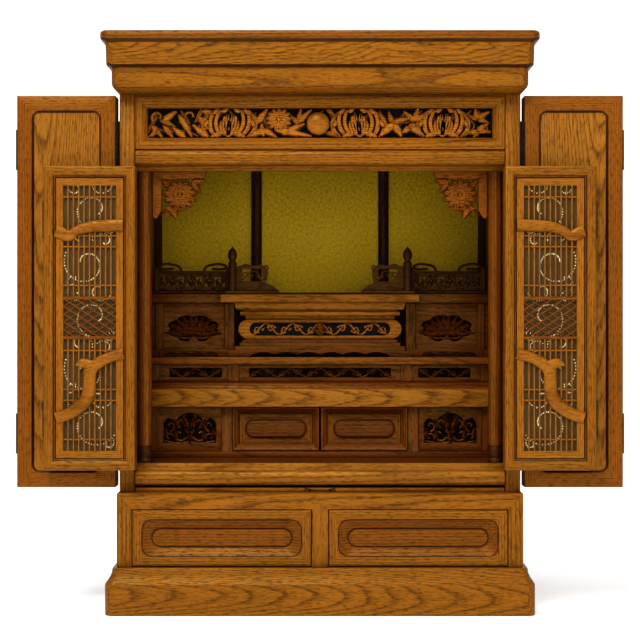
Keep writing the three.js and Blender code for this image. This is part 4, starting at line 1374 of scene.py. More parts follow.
@dataclass
class Drawer:
    """A drawer whose front has a mitred border, a routed hollow and a raised oblong in the hollow."""

    node: str
    front: float  # how thick the front board is
    section: Sequence[tuple[float, float, float]]  # inset, depth and corner radius of the front's steps
    hollow: float  # how far in the hollow starts
    finishes: tuple[Wood, Wood, Wood, Wood]  # rails, stiles, hollow and the box behind the front

    def build(self) -> None:
        """Builds the front and the box behind it."""
        low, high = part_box(self.node)
        area = area_of(self.node)
        tall = area.z1 - area.z0
        y0, y1 = low.y, low.y + self.front
        steps = [(0, y1, 0.4 * MM)]
        steps += [(inset * MM, y0 + depth * MM, radius * MM) for inset, depth, radius in self.section]
        part, word = self.node.rsplit("_", 1)
        body = f"{word}_{part}"
        # steep steps inside the border take painted shade
        Piece().framed(area, steps, segments=8).stand_for(
            self.node, [*self.finishes[:3], PAINTED_SHADE], body=body, sharp=28,
            pick=mitred(area, 0, 1, area.inset(self.hollow), 2, 3),
        )
        box = Piece()
        x0, x1 = low.x + 3 * MM, high.x - 3 * MM
        z0, z1 = low.z + tall * 0.14, high.z - tall * 0.14
        wall, back = (high.x - low.x) * 0.048, high.y
        for near, far in (((x0, y1, z0), (x0 + wall, back, z1)), ((x1 - wall, y1, z0), (x1, back, z1)),
                          ((x0 + wall, back - wall, z0), (x1 - wall, back, z1)),
                          ((x0 + wall, y1, z0), (x1 - wall, back - wall, z0 + 5 * MM))):
            box.bar(near, far, 0.5 * MM)
        box.done(self.node + "_box", self.finishes[3], body=body)


# ---- doors


@dataclass
class OuterLeaf:
    """A solid outer leaf: a mitred frame round a sunk panel with round corners, worked on both faces."""

    side: Side
    part: str
    stile: float = 17.5 * MM
    corner: float = 9 * MM
    sunk: float = 3.2 * MM

    def build(self) -> None:
        """Builds the leaf."""
        node = self.side.name_of(self.part)
        low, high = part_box(node)
        area = area_of(node)
        y0, y1, s = low.y, high.y, self.stile
        face = [
            (0, 2.0, 0.8), (0.5, 0.6, 1.2), (1.8, 0, 1.8), (s / MM - 2.6, 0, 8.2), (s / MM - 1.8, 0.5, 8.4),
            (s / MM - 0.6, 2.3, 8.8), (s / MM, 2.9, 9), (s / MM + 0.4, self.sunk / MM, 9),
        ]
        steps = [(i * MM, y0 + d * MM, r * MM) for i, d, r in reversed(face)]
        steps += [(i * MM, y1 - d * MM, r * MM) for i, d, r in face]
        centre = (area.x0 + area.x1) / 2
        seed = 0.013 * len(self.part) * self.side.value
        lean = -0.04 if "door" in self.part else 0.03
        panel = Wood(
            node + "_panel", Tone.HONEY, heart=(centre + seed * 0.2, 0.18), lean=lean, ring=0.0019,
            wander=0.0045, mark=0.7,
        )
        upright = Wood(
            node + "_stile", Tone.RUSSET, heart=(centre + 0.2 + seed, 0.1), ring=0.0026, wander=0.004,
            mark=0.22,
        )
        level = replace(upright, name=node + "_rail", grain=Grain.LEVEL, heart=(area.z1 + 0.2, 0.1))
        # steep steps inside the frame take painted shade
        Piece().framed(area, steps, segments=8).stand_for(
            node, [panel, level, upright, PAINTED_SHADE], body=f"{self.side.word}_{self.part}",
            pick=mitred(area, 1, 2, area.inset(s - 0.5 * MM), 0, 3), sharp=26,
        )


LATTICE_WOOD = Wood("lattice_wood", Tone.ORANGE, Grain.UPRIGHT, heart=(0.5, 0.3), ring=0.0016, wander=0.003)
LATTICE_LEVEL = replace(LATTICE_WOOD, name="lattice_level", grain=Grain.LEVEL, heart=(0.05, 0.3))
LATTICE_RED = replace(LATTICE_LEVEL, name="lattice_red", tone=Tone.AMBER)
BRANCH = Wood("branch", Tone.ORANGE, Grain.LEVEL, heart=(0.31, 0.25), ring=0.03, wander=0.006, gloss=0.34)
THREAD = Metal("gold_thread", srgb(176, 156, 104), srgb(246, 236, 196), 0.45)


@dataclass
class InnerLeaf:
    """A light inner leaf: mitred frame, bar lattice with bent branches, and gauze behind it."""

    side: Side
    part: str
    stile: float = 12.4 * MM
    border: float = 7.6 * MM
    bars: int = 9
    levels: tuple[float, ...] = (434.1, 393.7, 382.4, 342.2, 274.5, 234.0, 222.8, 182.1)
    rails: tuple[Pair, Pair] = ((286.1, 289.3), (327.3, 330.6))

    def __post_init__(self) -> None:
        """Finds the leaf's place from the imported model."""
        self.low, self.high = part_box(f"{self.part}_frame_right")
        self.front = 1 if self.part == "inner_fold" else -1
        self.face = self.low.y if self.front == 1 else self.high.y
        self.body = f"{self.side.word}_{self.part}"

    def y(self, depth: float) -> float:
        """A depth in millimetres behind the leaf's face, as a place along Y."""
        return self.face + self.front * depth * MM

    def x(self, across: float) -> float:
        """Millimetres from the leaf's free edge, as a place along X."""
        return self.low.x + across * MM

    def node(self, item: str) -> str:
        """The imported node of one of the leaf's parts."""
        return self.side.name_of(f"{self.part}_{item}")

    def build(self) -> None:
        """Builds every piece of the leaf."""
        area = Area(self.low.x, self.high.x, self.low.z, self.high.z)
        self.frame(area)
        inside = area.inset(self.stile + 0.3 * MM)
        self.lattice(inside)
        self.branches(inside)
        self.gauze(inside)

    def frame(self, area: Area) -> None:
        """Builds the mitred frame.

        Args:
            area: the leaf's outline.
        """
        s = self.stile / MM
        section = [
            (0, 11.0), (0, 2.6), (0.5, 1.3), (1.6, 0.5), (3.2, 0.1), (5, 0), (6.8, 0.2), (8.4, 0.8),
            (9.8, 1.7), (10.9, 2.9), (s - 0.9, 3.2), (s, 4.4), (s, 10.4), (s - 1.2, 12), (1.4, 12),
            (0.4, 11.6),
        ]
        steps = [(inset * MM, self.y(depth), 0) for inset, depth in section]
        seed = 0.02 * self.side.value * self.front
        upright = Wood(self.node("stile"), heart=(0.45 + seed, 0.2), ring=0.0024, wander=0.005, mark=0.35)
        level = Wood(self.node("rail"), grain=Grain.LEVEL, heart=(0.7 + seed, 0.2), mark=0.35)
        # steep steps of the moulding take painted shade
        Piece().framed(area, steps, closed=True).mirrored(self.side).stand_for(
            self.node("frame"), [level, upright, PAINTED_SHADE], body=self.body, pick=mitred(area, 0, 1, quirk=2),
            sharp=24,
        )

    def lattice(self, inside: Area) -> None:
        """Builds the border, the bars, the heavy rails and the crossed laths between them.

        Args:
            inside: the opening of the leaf's frame.
        """
        wide = self.border / MM
        section = [(0, 3.6), (wide - 0.5, 3.6), (wide, 4.1), (wide, 7.5), (0, 7.5)]
        steps = [(inset * MM, self.y(depth), 0) for inset, depth in section]
        Piece().framed(inside, steps, closed=True).mirrored(self.side).stand_for(
            self.node("lattice"), [LATTICE_LEVEL, LATTICE_WOOD], body=self.body, slot="lattice_wood",
            pick=mitred(inside, 0, 1),
        )
        hole = inside.inset(self.border - 0.6 * MM)
        pitch = (hole.x1 - hole.x0) / (self.bars + 1)
        lower, upper = self.rails
        uprights, laths, heavy = Piece(), Piece(), Piece()
        for i in range(1, self.bars + 1):
            x = hole.x0 + i * pitch
            for z0, z1 in ((hole.z0, lower[0] * MM), (upper[1] * MM, hole.z1)):
                self.strip(uprights, x - 0.75 * MM, x + 0.75 * MM, z0, z1, 3.9, 5.5)
        for z in self.levels:
            self.strip(laths, hole.x0, hole.x1, (z - 0.8) * MM, (z + 0.8) * MM, 5.0, 6.6)
        for z0, z1 in self.rails:
            self.strip(heavy, hole.x0, hole.x1, z0 * MM, z1 * MM, 3.8, 7.2)
        self.diagonals(heavy, Area(hole.x0, hole.x1, lower[1] * MM, upper[0] * MM))
        for piece, name, finish in ((uprights, "bars", LATTICE_WOOD), (laths, "laths", LATTICE_LEVEL),
                                    (heavy, "diamonds", LATTICE_RED)):
            piece.mirrored(self.side).done(self.node(name), finish, body=self.body, slot="lattice_wood")

    def strip(self, piece: Piece, x0: float, x1: float, z0: float, z1: float, near: float,
              far: float) -> None:
        """Adds one straight bar of the lattice between two depths given in millimetres."""
        y0, y1 = sorted((self.y(near), self.y(far)))
        piece.bar((x0, y0, z0), (x1, y1, z1), 0.25 * MM)

    def diagonals(self, piece: Piece, area: Area, spacing: float = 12.2 * MM, slope: float = 0.66) -> None:
        """Adds crossed laths that fill an area with diamonds.

        Args:
            piece: the piece that takes them.
            area: the area that they fill.
            spacing: the distance along X between parallel laths.
            slope: their rise over their run.
        """
        width, height = area.x1 - area.x0, area.z1 - area.z0
        run = height / slope
        count = int((width + run) / spacing) + 1
        for lean, near in ((1, 4.2), (-1, 5.6)):
            for i in range(count):
                start = area.x0 - run + (i + 0.35) * spacing
                enter, leave = max(start, area.x0), min(start + run, area.x1)
                if leave - enter < 2 * MM:
                    continue
                ends = []
                for x in (enter, leave):
                    rise = (x - start) * slope
                    ends.append(Vector((x, 0, area.z0 + rise if lean > 0 else area.z1 - rise)))
                self.lath(piece, *ends, near)

    def lath(self, piece: Piece, start: Vector, end: Vector, near: float, wide: float = 1.35 * MM) -> None:
        """Adds a slanted lath.

        Args:
            piece: the piece that takes it.
            start: its lower X end.
            end: its other end.
            near: its front's depth in millimetres.
            wide: its width.
        """
        y0, y1 = sorted((self.y(near), self.y(near + 1.3)))
        before = set(piece.bm.verts)
        length = (end - start).length
        piece.bar((0, y0, -wide / 2), (length, y1, wide / 2), 0.2 * MM)
        made = [vert for vert in piece.bm.verts if vert not in before]
        angle = atan2(end.z - start.z, end.x - start.x)
        turn = Matrix.Translation(start) @ Matrix.Rotation(-angle, 4, "Y")
        bmesh.ops.transform(piece.bm, matrix=turn, verts=made)

    def branches(self, inside: Area) -> None:
        """Builds the two bent branches that lie over the lattice.

        Args:
            inside: the opening of the leaf's frame.
        """
        edge, hinge = (inside.x0 - self.low.x) / MM, (inside.x1 - self.low.x) / MM
        lines = (
            ((edge, 404.6, 12.8), (31.1, 403.9, 12.5), (48.4, 402.8, 11.4), (60.6, 398.7, 9.9),
             (69.2, 393.8, 11.4), (77.8, 396.9, 13), (hinge, 398.4, 12.8)),
            ((edge, 271.6, 12), (26.6, 267.4, 11), (38, 261.8, 12), (46, 254, 13.5), (47.4, 243, 13.5),
             (47.8, 233, 14), (52, 222.5, 14.5), (60.5, 214.4, 13.5), (72.7, 207.4, 12.5),
             (hinge, 204.7, 12)),
            ((44, 258, 12), (55.3, 261.4, 10), (61.9, 259.4, 2.5)),
        )
        relief = Carving(self.y(2.9), 0.42)
        for line in lines:
            points = [(self.x(across), z * MM) for across, z, _ in line]
            relief.stroke(points, mm(*(wide for *_, wide in line)))
        relief.join_to(Piece(), 6, 4).mirrored(self.side).done(
            self.node("branches"), BRANCH, body=self.body, slot="lattice_wood", sharp=70
        )

    def gauze(self, inside: Area) -> None:
        """Stretches the gauze behind the lattice and sews the gold thread on it.

        Args:
            inside: the opening of the leaf's frame.
        """
        low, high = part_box(f"{self.part}_gauze_right")
        piece = Piece()
        middle = (low + high) / 2
        size = high - low
        stand = Matrix.Translation(middle) @ Matrix.Rotation(pi / 2, 4, "X")
        scale = Matrix.Diagonal((size.x / 2, size.z / 2, 1, 1))
        bmesh.ops.create_grid(piece.bm, x_segments=12, y_segments=48, size=1, matrix=stand @ scale)
        cloth = piece.mirrored(self.side).stand_for(self.node("gauze"), Gauze(), body=self.body, slot="gauze")
        solid = cloth.modifiers.new("thickness", "SOLIDIFY")
        solid.thickness = 0.3 * MM
        solid.offset = 0
        self.node("lattice")
        self.threads(inside)

    def threads(self, inside: Area) -> None:
        """Sews short gold stitches along curling vines.

        Args:
            inside: the opening of the leaf's frame.
        """
        piece = Piece()
        middle = (inside.x0 + inside.x1) / 2
        cells = 5
        tall = (inside.z1 - inside.z0 - 12 * MM) / cells
        for i in range(cells):
            swing = 1 if i % 2 else -1
            z0 = inside.z0 + 6 * MM + tall * (i + 0.52)
            line = []
            for across, up, radius, start, sweep, count in (
                (4, 0, 24, pi * (0.5 - 0.5 * swing) + 0.5, -6.4, 44), (10, 0.5, 13, 3.4, -4.6, 20),
                (-15, 0.42, 9, 0.6, 4.4, 14), (19, -0.36, 7, 2.2, -4.0, 11),
            ):
                centre = (middle + swing * across * MM, z0 + tall * up)
                line += self.curl(centre, radius * MM, start, swing * sweep, count)
            for index, (x, z) in enumerate(line):
                if not inside.x0 + 2 * MM < x < inside.x1 - 2 * MM:
                    continue
                turn = Matrix.Rotation(index * 2.4, 4, "Y")
                squash = Matrix.Diagonal((1.35 * MM, 0.4 * MM, 0.85 * MM, 1))
                place = Matrix.Translation((x, self.y(7.75), z)) @ turn @ squash
                bmesh.ops.create_icosphere(piece.bm, subdivisions=1, radius=1, matrix=place)
        piece.mirrored(self.side).done(self.node("thread"), THREAD, body=self.body, slot="gauze", sharp=80)

    @staticmethod
    def curl(centre: Pair, radius: float, start: float, sweep: float, count: int) -> list[Pair]:
        """Evenly spaced places along a curl that winds inwards.

        Args:
            centre: its middle.
            radius: its radius where it starts.
            start: the angle where it starts.
            sweep: the angle that it winds through.
            count: how many places.

        Returns:
            The places.
        """
        points = []
        for i in range(count):
            share = i / (count - 1)
            reach = radius * (1 - 0.72 * share)
            angle = start + sweep * share
            points.append((centre[0] + reach * cos(angle), centre[1] + reach * sin(angle)))
        return points


# ---- transom


TRANSOM_LEAVES = (  # foot, tip and width in millimetres
    (-176.7, 509.8, -166.8, 499, 7.3), (-172, 506.3, -180, 498.7, 5.2), (-164.4, 516.2, -151.6, 525.4, 8.4),
    (-167.4, 516.2, -153.9, 510.4, 5.2), (-164.4, 509.8, -155.4, 498.4, 7.3),
    (-142.2, 499, -154.7, 509, 8.9), (-148.6, 521.5, -135.2, 499.6, 8.2),
    (-118.2, 499.6, -133.6, 511.3, 9.1), (-125.4, 527, -130.7, 516, 4.4), (-124.5, 526.1, -107.4, 523, 7.3),
    (-127.8, 519.8, -118.9, 508.3, 7.3), (-65.3, 514.1, -55.9, 527.7, 9.8),
    (-65.3, 514.1, -74.6, 526.5, 7.7), (-59.7, 506.3, -46.3, 499, 8.4), (-59.7, 506.3, -75.3, 499.6, 8.4),
    (-59.4, 500.4, -61.5, 512, 8.9), (-46.5, 505.9, -9.3, 499.8, 9.4), (-33.9, 505, -17, 512.4, 7.3),
    (-22.2, 514.1, -29.4, 520, 6.6), (-22.2, 514.1, -9.8, 527, 7.3), (-22, 514.1, -20.3, 527.5, 7.3),
    (7.7, 527.7, 14.5, 522.1, 4.7), (6.6, 503.4, 18.3, 499.8, 4.7), (76.7, 514.1, 94.4, 518.6, 7.3),
    (76.7, 514.1, 72.8, 524.4, 6.6), (76.7, 513, 63.9, 500.8, 10.1), (77.9, 511.8, 85.5, 500.1, 10.1),
    (100.9, 516.5, 89.4, 524.9, 7.3), (100.9, 516.5, 103, 528.4, 7.7), (100.9, 516.5, 114.3, 523.3, 7.3),
    (94.4, 509.4, 86.9, 503.8, 7.5), (93.7, 509.4, 102.1, 511.8, 5.9), (95.4, 509.4, 109.3, 500.3, 8.7),
    (166.2, 518.1, 163.7, 527.9, 7.3), (166.2, 518.1, 177.2, 524.9, 7.3), (166.2, 518.1, 176.1, 514.6, 5.9),
    (166.2, 518.1, 157.8, 521.2, 4.9), (166, 505.2, 175.8, 512, 7), (166, 505.2, 178.6, 504.5, 5.9),
    (166, 505.2, 156.4, 503.4, 6.6), (166, 505.2, 163, 499.6, 5.9),
)


@dataclass
class Transom:
    """The carved panel over the doorway, in a mitred frame."""

    border: float = 12.6 * MM

    def build(self) -> None:
        """Builds the frame, the carving and the boss."""
        low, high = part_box("transom_frame")
        area = Area(low.x, high.x, low.z, high.z - 1.6 * MM)
        y, b = low.y, self.border / MM
        section = [(0, 14), (0, 1.3), (0.4, 0.4), (1.3, 0), (b * 0.5, 0), (b * 0.62, 0.4), (b - 0.6, 4.0),
                   (b, 5), (b, 14)]
        level = replace(PLAIN_LEVEL, name="transom_rail", heart=(0.62, 0.25))
        upright = replace(PLAIN_UPRIGHT, name="transom_stile", heart=(0.4, 0.25))
        frame = Piece().framed(area, [(i * MM, y + d * MM, 0) for i, d in section], closed=True)
        frame.bar((low.x, y + 2 * MM, area.z1 - 0.3 * MM), (high.x, high.y, high.z), 0.2 * MM)
        frame.stand_for("transom_frame", [level, upright], pick=mitred(area, 0, 1), sharp=24)
        dress_node("transom_backing", Lacquer())
        self.carving()
        self.boss()

    def carving(self) -> None:
        """Carves chrysanthemums and leaves across the panel."""
        low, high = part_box("transom_carving")
        foot, tall = low.z, high.z - low.z
        face = high.y - 3.6 * MM
        relief = Carving(face, 0.62)
        for i in range(42):
            x, z = (-181 + 8.7 * i) * MM, foot + tall * (0.18, 0.86, 0.5)[i % 3]
            tip = (x + (9.5, -8.5, 9, -9.5)[i % 4] * MM, foot + tall * (0.72, 0.3, 0.92)[i % 3])
            relief.blade((x, z), tip, *mm(6, 0.9, -1.5), 2)
        for x0, z0, x1, z1, wide in TRANSOM_LEAVES:
            lift = 0.0004 + 0.0011 * (abs(x0 * 7 + z0) % 1)
            relief.blade(mm(x0, z0), mm(x1, z1), wide * MM, 0.4 * MM, lift, 3)
        for x, half, lean in ((-97, 28, 3.5), (42, 28, -3), (128.5, 27, 3)):
            relief.bloom(x * MM, foot, half * MM, tall, 1.2 * MM, lean * MM)
        relief.rose(*mm(-43.3, 517.2, 13, 11.4, 2.2))
        for x, z, radius, start, sweep in ((-171.5, 520, 6.2, -2.2, -4.6), (-137, 520.5, 6.4, -2.0, -4.4)):
            relief.scroll(*mm(x, z, radius), start, sweep, *mm(3.4, 1.2), 0.5)
        for line in (((-176, 512), (-166, 506), (-150, 507)), ((-150, 507), (-140, 505), (-128, 500)),
                     ((157, 519), (162.5, 510), (157, 505)), ((64, 501), (76, 513), (90, 514), (100, 517)),
                     ((-76, 501), (-62, 509), (-58, 516)), ((-48, 506), (-30, 506), (-22, 514))):
            relief.stroke(in_metres(line), *mm(1.8, 0.6))
        piece = relief.join_to(Piece())
        for vert in piece.bm.verts:
            vert.co.z = min(max(vert.co.z, foot), high.z)
            vert.co.y = min(max(vert.co.y, low.y), high.y)
        # painted light on the carving's front and painted shade in its hollows; the dark second finish paints
        # shade on the blades' edges
        finish = replace(CARVED, name="transom_carving", relief=(face - 4.6 * MM, face + 0.2 * MM))
        edge = replace(finish, name="transom_carving_edge", tone=Tone.DARK)
        piece.stand_for("transom_carving", [finish, edge], slot="carved_wood", sharp=50)

    def boss(self) -> None:
        """Turns the smooth dome in the middle of the panel."""
        low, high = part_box("transom_boss")
        radius = (high.x - low.x) / 2
        depth = high.y - low.y
        profile = [(0, 0), (radius, 0), (radius, 0.3 * depth)]
        profile += [(radius * cos(a), depth * (0.3 + 0.7 * sin(a)))
                    for a in (pi / 2 * i / 8 for i in range(1, 8))]
        profile.append((0, depth))
        centre = ((low.x + high.x) / 2, high.y, (low.z + high.z) / 2)
        finish = replace(BRANCH, name="boss", ring=0.02, heart=(0.6, 0.25))
        dome = Piece().lathe(profile, centre, 40, (0, -1, 0))
        dome.stand_for("transom_boss", finish, slot="carved_wood", sharp=50)


# ---- inside


@dataclass
class Sanctum:
    """The gilded wall, the columns and their brackets, and the shelves at both sides."""

    shelf_front: float = 38 * MM

    def build(self) -> None:
        """Builds everything round the altar."""
        dress_node("gold_panel", GoldLeaf())
        self.wall_frame()
        for side in Side:
            self.column(side)
            self.bracket(side)
            self.side_rail(side)
            self.side_panel(side)
        for node, tone in (("upper_shelf", Tone.BROWN), ("step_shelf", Tone.AMBER)):
            finish = replace(INSIDE_LEVEL, name=node, tone=tone)
            Piece.copied(node).soften(0.8 * MM).stand_for(node, finish)

    def wall_frame(self) -> None:
        """Builds the rods and strips that hold the gilded panels."""
        low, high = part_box("wall_frame")
        piece = Piece()
        piece.bar((low.x, low.y + 4 * MM, high.z - 9 * MM), (high.x, high.y, high.z), 0.6 * MM)
        piece.bar((low.x, low.y + 5 * MM, low.z), (high.x, high.y, low.z + 2.6 * MM), 0.4 * MM)
        for side in (-1, 1):
            x0, x1 = sorted((side * high.x, side * 187 * MM))
            piece.bar((x0, low.y + 2 * MM, low.z), (x1, high.y, high.z), 0.6 * MM)
            radius = 6.1 * MM
            profile = [(0, 0), (radius, 0), (radius, high.z - low.z), (0, high.z - low.z)]
            piece.lathe(profile, (side * 75 * MM, high.y - radius, low.z), 28)
        piece.stand_for("wall_frame", DARK_UPRIGHT, slot="dark_wood")

    def column(self, side: Side) -> None:
        """Turns a column with its moulded foot.

        Args:
            side: the side that it is on.
        """
        node = side.name_of("column")
        low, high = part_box(node)
        tall = high.z - low.z
        foot = [(0, 0), (7.9, 0), (7.9, 2.6), (7.4, 3.6), (6.7, 4.6), (6.6, 5.2), (7.2, 6.4), (7.8, 8.4),
                (7.9, 11), (7.6, 13.4), (7.0, 15.6), (6.6, 17.4), (6.9, 18.2), (7.3, 19.6)]
        profile = [*in_metres(foot), (7.3 * MM, tall), (0, tall)]
        centre = ((low.x + high.x) / 2, (low.y + high.y) / 2, low.z)
        finish = Wood("column", Tone.AMBER, heart=(0.4, 0.2), ring=0.003, gloss=0.3)
        # the foot's rings take the dark finish: painted shade
        Piece().lathe(profile, centre, 40).stand_for(
            node, [finish, DARK_LEVEL], slot="dark_wood", sharp=50,
            pick=lambda middle, normal: int(middle.z < low.z + 18 * MM),
        )

    def bracket(self, side: Side) -> None:
        """Carves the bracket between a column and the door head.

        Args:
            side: the side that it is on.
        """
        low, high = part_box("bracket_right")
        outer, arm, foot = 177.9 * MM, 9.3 * MM, low.z + 12 * MM
        drop = high.z - 12.3 * MM
        outline = [(outer, high.z), (low.x + 3 * MM, high.z)]
        outline += [(low.x + (1 + 5 * t * t) * MM, high.z - 12.3 * MM * t) for t in (0.15, 0.4, 0.6, 0.8, 1)]
        outline += [(outer - arm, drop), (outer - arm, foot + 7 * MM), (outer - arm + MM, foot + 6 * MM),
                    (outer - 4 * MM, foot), (outer - 3 * MM, foot - 0.6 * MM), (outer, foot + MM)]
        piece = fretwork(Piece(), [outline], low.y + 4 * MM, high.y, 0.8 * MM)
        relief = Carving(high.y - 3.5 * MM, 0.62)
        relief.rose(*mm(149, 439.5, 18, 17, 1.2))
        for x0, z0, x1, z1, wide in ((155.9, 427, 168.2, 418.3, 3.6), (164, 424.7, 147.4, 423.5, 7.1),
                                     (157.9, 425.7, 152.3, 414.9, 9.3), (135.9, 453.3, 122.5, 454.5, 8.3),
                                     (135.9, 453.3, 127.1, 441.6, 7.6), (160.9, 448, 168.2, 455.3, 6.6)):
            relief.blade(mm(x0, z0), mm(x1, z1), *mm(wide, 0.4, 3), 3)
        relief.stroke(in_metres(((152, 430), (160, 424), (169, 418))), *mm(2.4, 3))
        name = side.name_of("bracket")
        # painted light on the carving's front and painted shade in its hollows; the dark second finish paints
        # shade on the blades' edges
        finish = replace(CARVED, name=name, relief=(high.y - 7.5 * MM, high.y - 2 * MM), tone=Tone.AMBER)
        edge = replace(finish, name=name + "_edge", tone=Tone.DARK)
        relief.join_to(piece).mirrored(side).stand_for(name, [finish, edge], slot="carved_wood", sharp=50)

    def side_rail(self, side: Side) -> None:
        """Builds the looped railing on a side shelf, with its pierced board.

        Args:
            side: the side that it is on.
        """
        low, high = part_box("side_rail_right")
        y0, y1 = low.y + 4 * MM, low.y + 8 * MM
        foot = low.z
        x0, x1 = 105 * MM, 184.5 * MM
        piece = Piece().bar((low.x + 2 * MM, low.y, foot), (high.x, high.y, foot + 3.2 * MM), 0.6 * MM)
        board = [(x0, foot + 3 * MM), (x1, foot + 3 * MM), (x1, 362 * MM), (x0, 362 * MM)]
        fretwork(piece, [board, rectangle(x0 + 3 * MM, x1 - 3 * MM, 344 * MM, 355 * MM)], y0, y1)
        relief = Carving((y0 + y1) / 2, 0.8)
        loop = ((29, 359.6), (27, 362), (25, 366), (19, 368.6), (4, 368.6), (1.5, 366), (3, 364.6),
                (18, 364.2))
        for end, x in ((1, x0), (-1, x1)):
            relief.stroke([(x + end * across * MM, z * MM) for across, z in loop], 3.4 * MM)
        cells = 7
        pitch = (x1 - x0 - 6 * MM) / cells
        for i in range(cells):
            turn = 1 if i % 2 else -1
            x = x0 + 3 * MM + pitch * (i + 0.5)
            relief.scroll(x, (349.5 + 1.2 * turn) * MM, 5.4 * MM, -turn * 1.2, turn * 5.2, 2.5 * MM)
            relief.blade((x - turn * 3 * MM, 349 * MM), (x + 2 * MM, (349.5 + 8 * turn) * MM), 3.6 * MM)
            relief.blade((x + turn * 3 * MM, 349 * MM), (x - 3 * MM, (349.5 - 8 * turn) * MM), 3.6 * MM)
        relief.join_to(piece)
        for left, right in ((x1 - 2 * MM, x1 + 3.5 * MM), (low.x, x0 + 2 * MM)):
            piece.bar((left, y0 - MM, foot + 3 * MM), (right, y1 + MM, 366 * MM), 0.5 * MM)
        piece.mirrored(side).stand_for(side.name_of("side_rail"), DARK_LEVEL, slot="dark_wood")

    def side_panel(self, side: Side) -> None:
        """Builds the panel under a side shelf: leaves in a clouded opening, and a wavy apron.

        Args:
            side: the side that it is on.
        """
        low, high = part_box("side_carving_right")
        y0, y1 = self.shelf_front + 8 * MM, high.y
        x, z = 144 * MM, 296.5 * MM
        opening = cloud(x, z, 30 * MM, 15.6 * MM, 8, 0.42)
        board = rectangle(108 * MM, high.x, low.z, high.z)
        piece = fretwork(Piece(), [board, opening], y0, y1)
        relief = Carving(y0 + 2.4 * MM, 0.7)
        rings = ((21, (0.16, 0.48, 0.8, 1.15, 1.5)), (12.5, (0.3, 0.8, 1.3)))
        for ring, (reach, leans) in enumerate(rings):
            outer = 1 - ring
            for lean in [*(-lean for lean in reversed(leans)), *leans]:
                start = (x + (4 + 7 * outer) * MM * sin(lean), z - (7 - 5 * outer * cos(lean)) * MM)
                out = (reach + 7 * (1 - cos(lean))) * MM
                tip = (x + (out + 3 * MM) * sin(lean), z - 7 * MM + out * cos(lean))
                relief.blade(start, tip, 6.6 * MM, 0.8 * MM * (1 if lean > 0 else -1), ring * 0.8 * MM, 3)
        for end in (-1, 1):
            stem = [(x, z - 10 * MM), (x + end * 12 * MM, z - 11 * MM), (x + end * 25 * MM, z - 5 * MM)]
            relief.stroke(stem, mm(2.4, 2.2, 1))
            for dx, dz, radius, start, sweep in ((13, -4, 4.6, 3.6, 4.4), (22, 3, 3.8, 4.4, 4.2)):
                relief.scroll(
                    x + end * dx * MM, z + dz * MM, radius * MM, start if end > 0 else pi - start,
                    end * sweep, 1.8 * MM, 0.9 * MM,
                )
        relief.join_to(piece)
        waves = [(102.5 * MM, low.z + 8.4 * MM), (102.5 * MM, low.z), (116 * MM, low.z)]
        waves += [(116 * MM + 60 * MM * i / 24, low.z + (2.2 + 2.6 * abs(sin(pi * i / 6))) * MM)
                  for i in range(25)]
        waves += [(178 * MM, low.z), (high.x, low.z), (high.x, low.z + 8.4 * MM)]
        fretwork(piece, [waves], self.shelf_front, y0 + 0.4 * MM)
        piece.bar((low.x, y0 - 4 * MM, low.z), (108.4 * MM, high.y, high.z), 0.6 * MM)

        def pick(middle: Vector, normal: Vector) -> int:
            """Upright wood on the two posts, level wood elsewhere."""
            on_post = POST[0] < abs(middle.x) < POST[1] and middle.y < y0 - MM
            return 1 if on_post or abs(middle.x) < 108 * MM else 0

        piece.bar((POST[0], y0 - 3 * MM, low.z), (POST[1], high.y, high.z), 0.5 * MM)
        piece.mirrored(side).stand_for(
            side.name_of("side_carving"), [INSIDE_LEVEL, INSIDE_UPRIGHT], pick=pick
        )


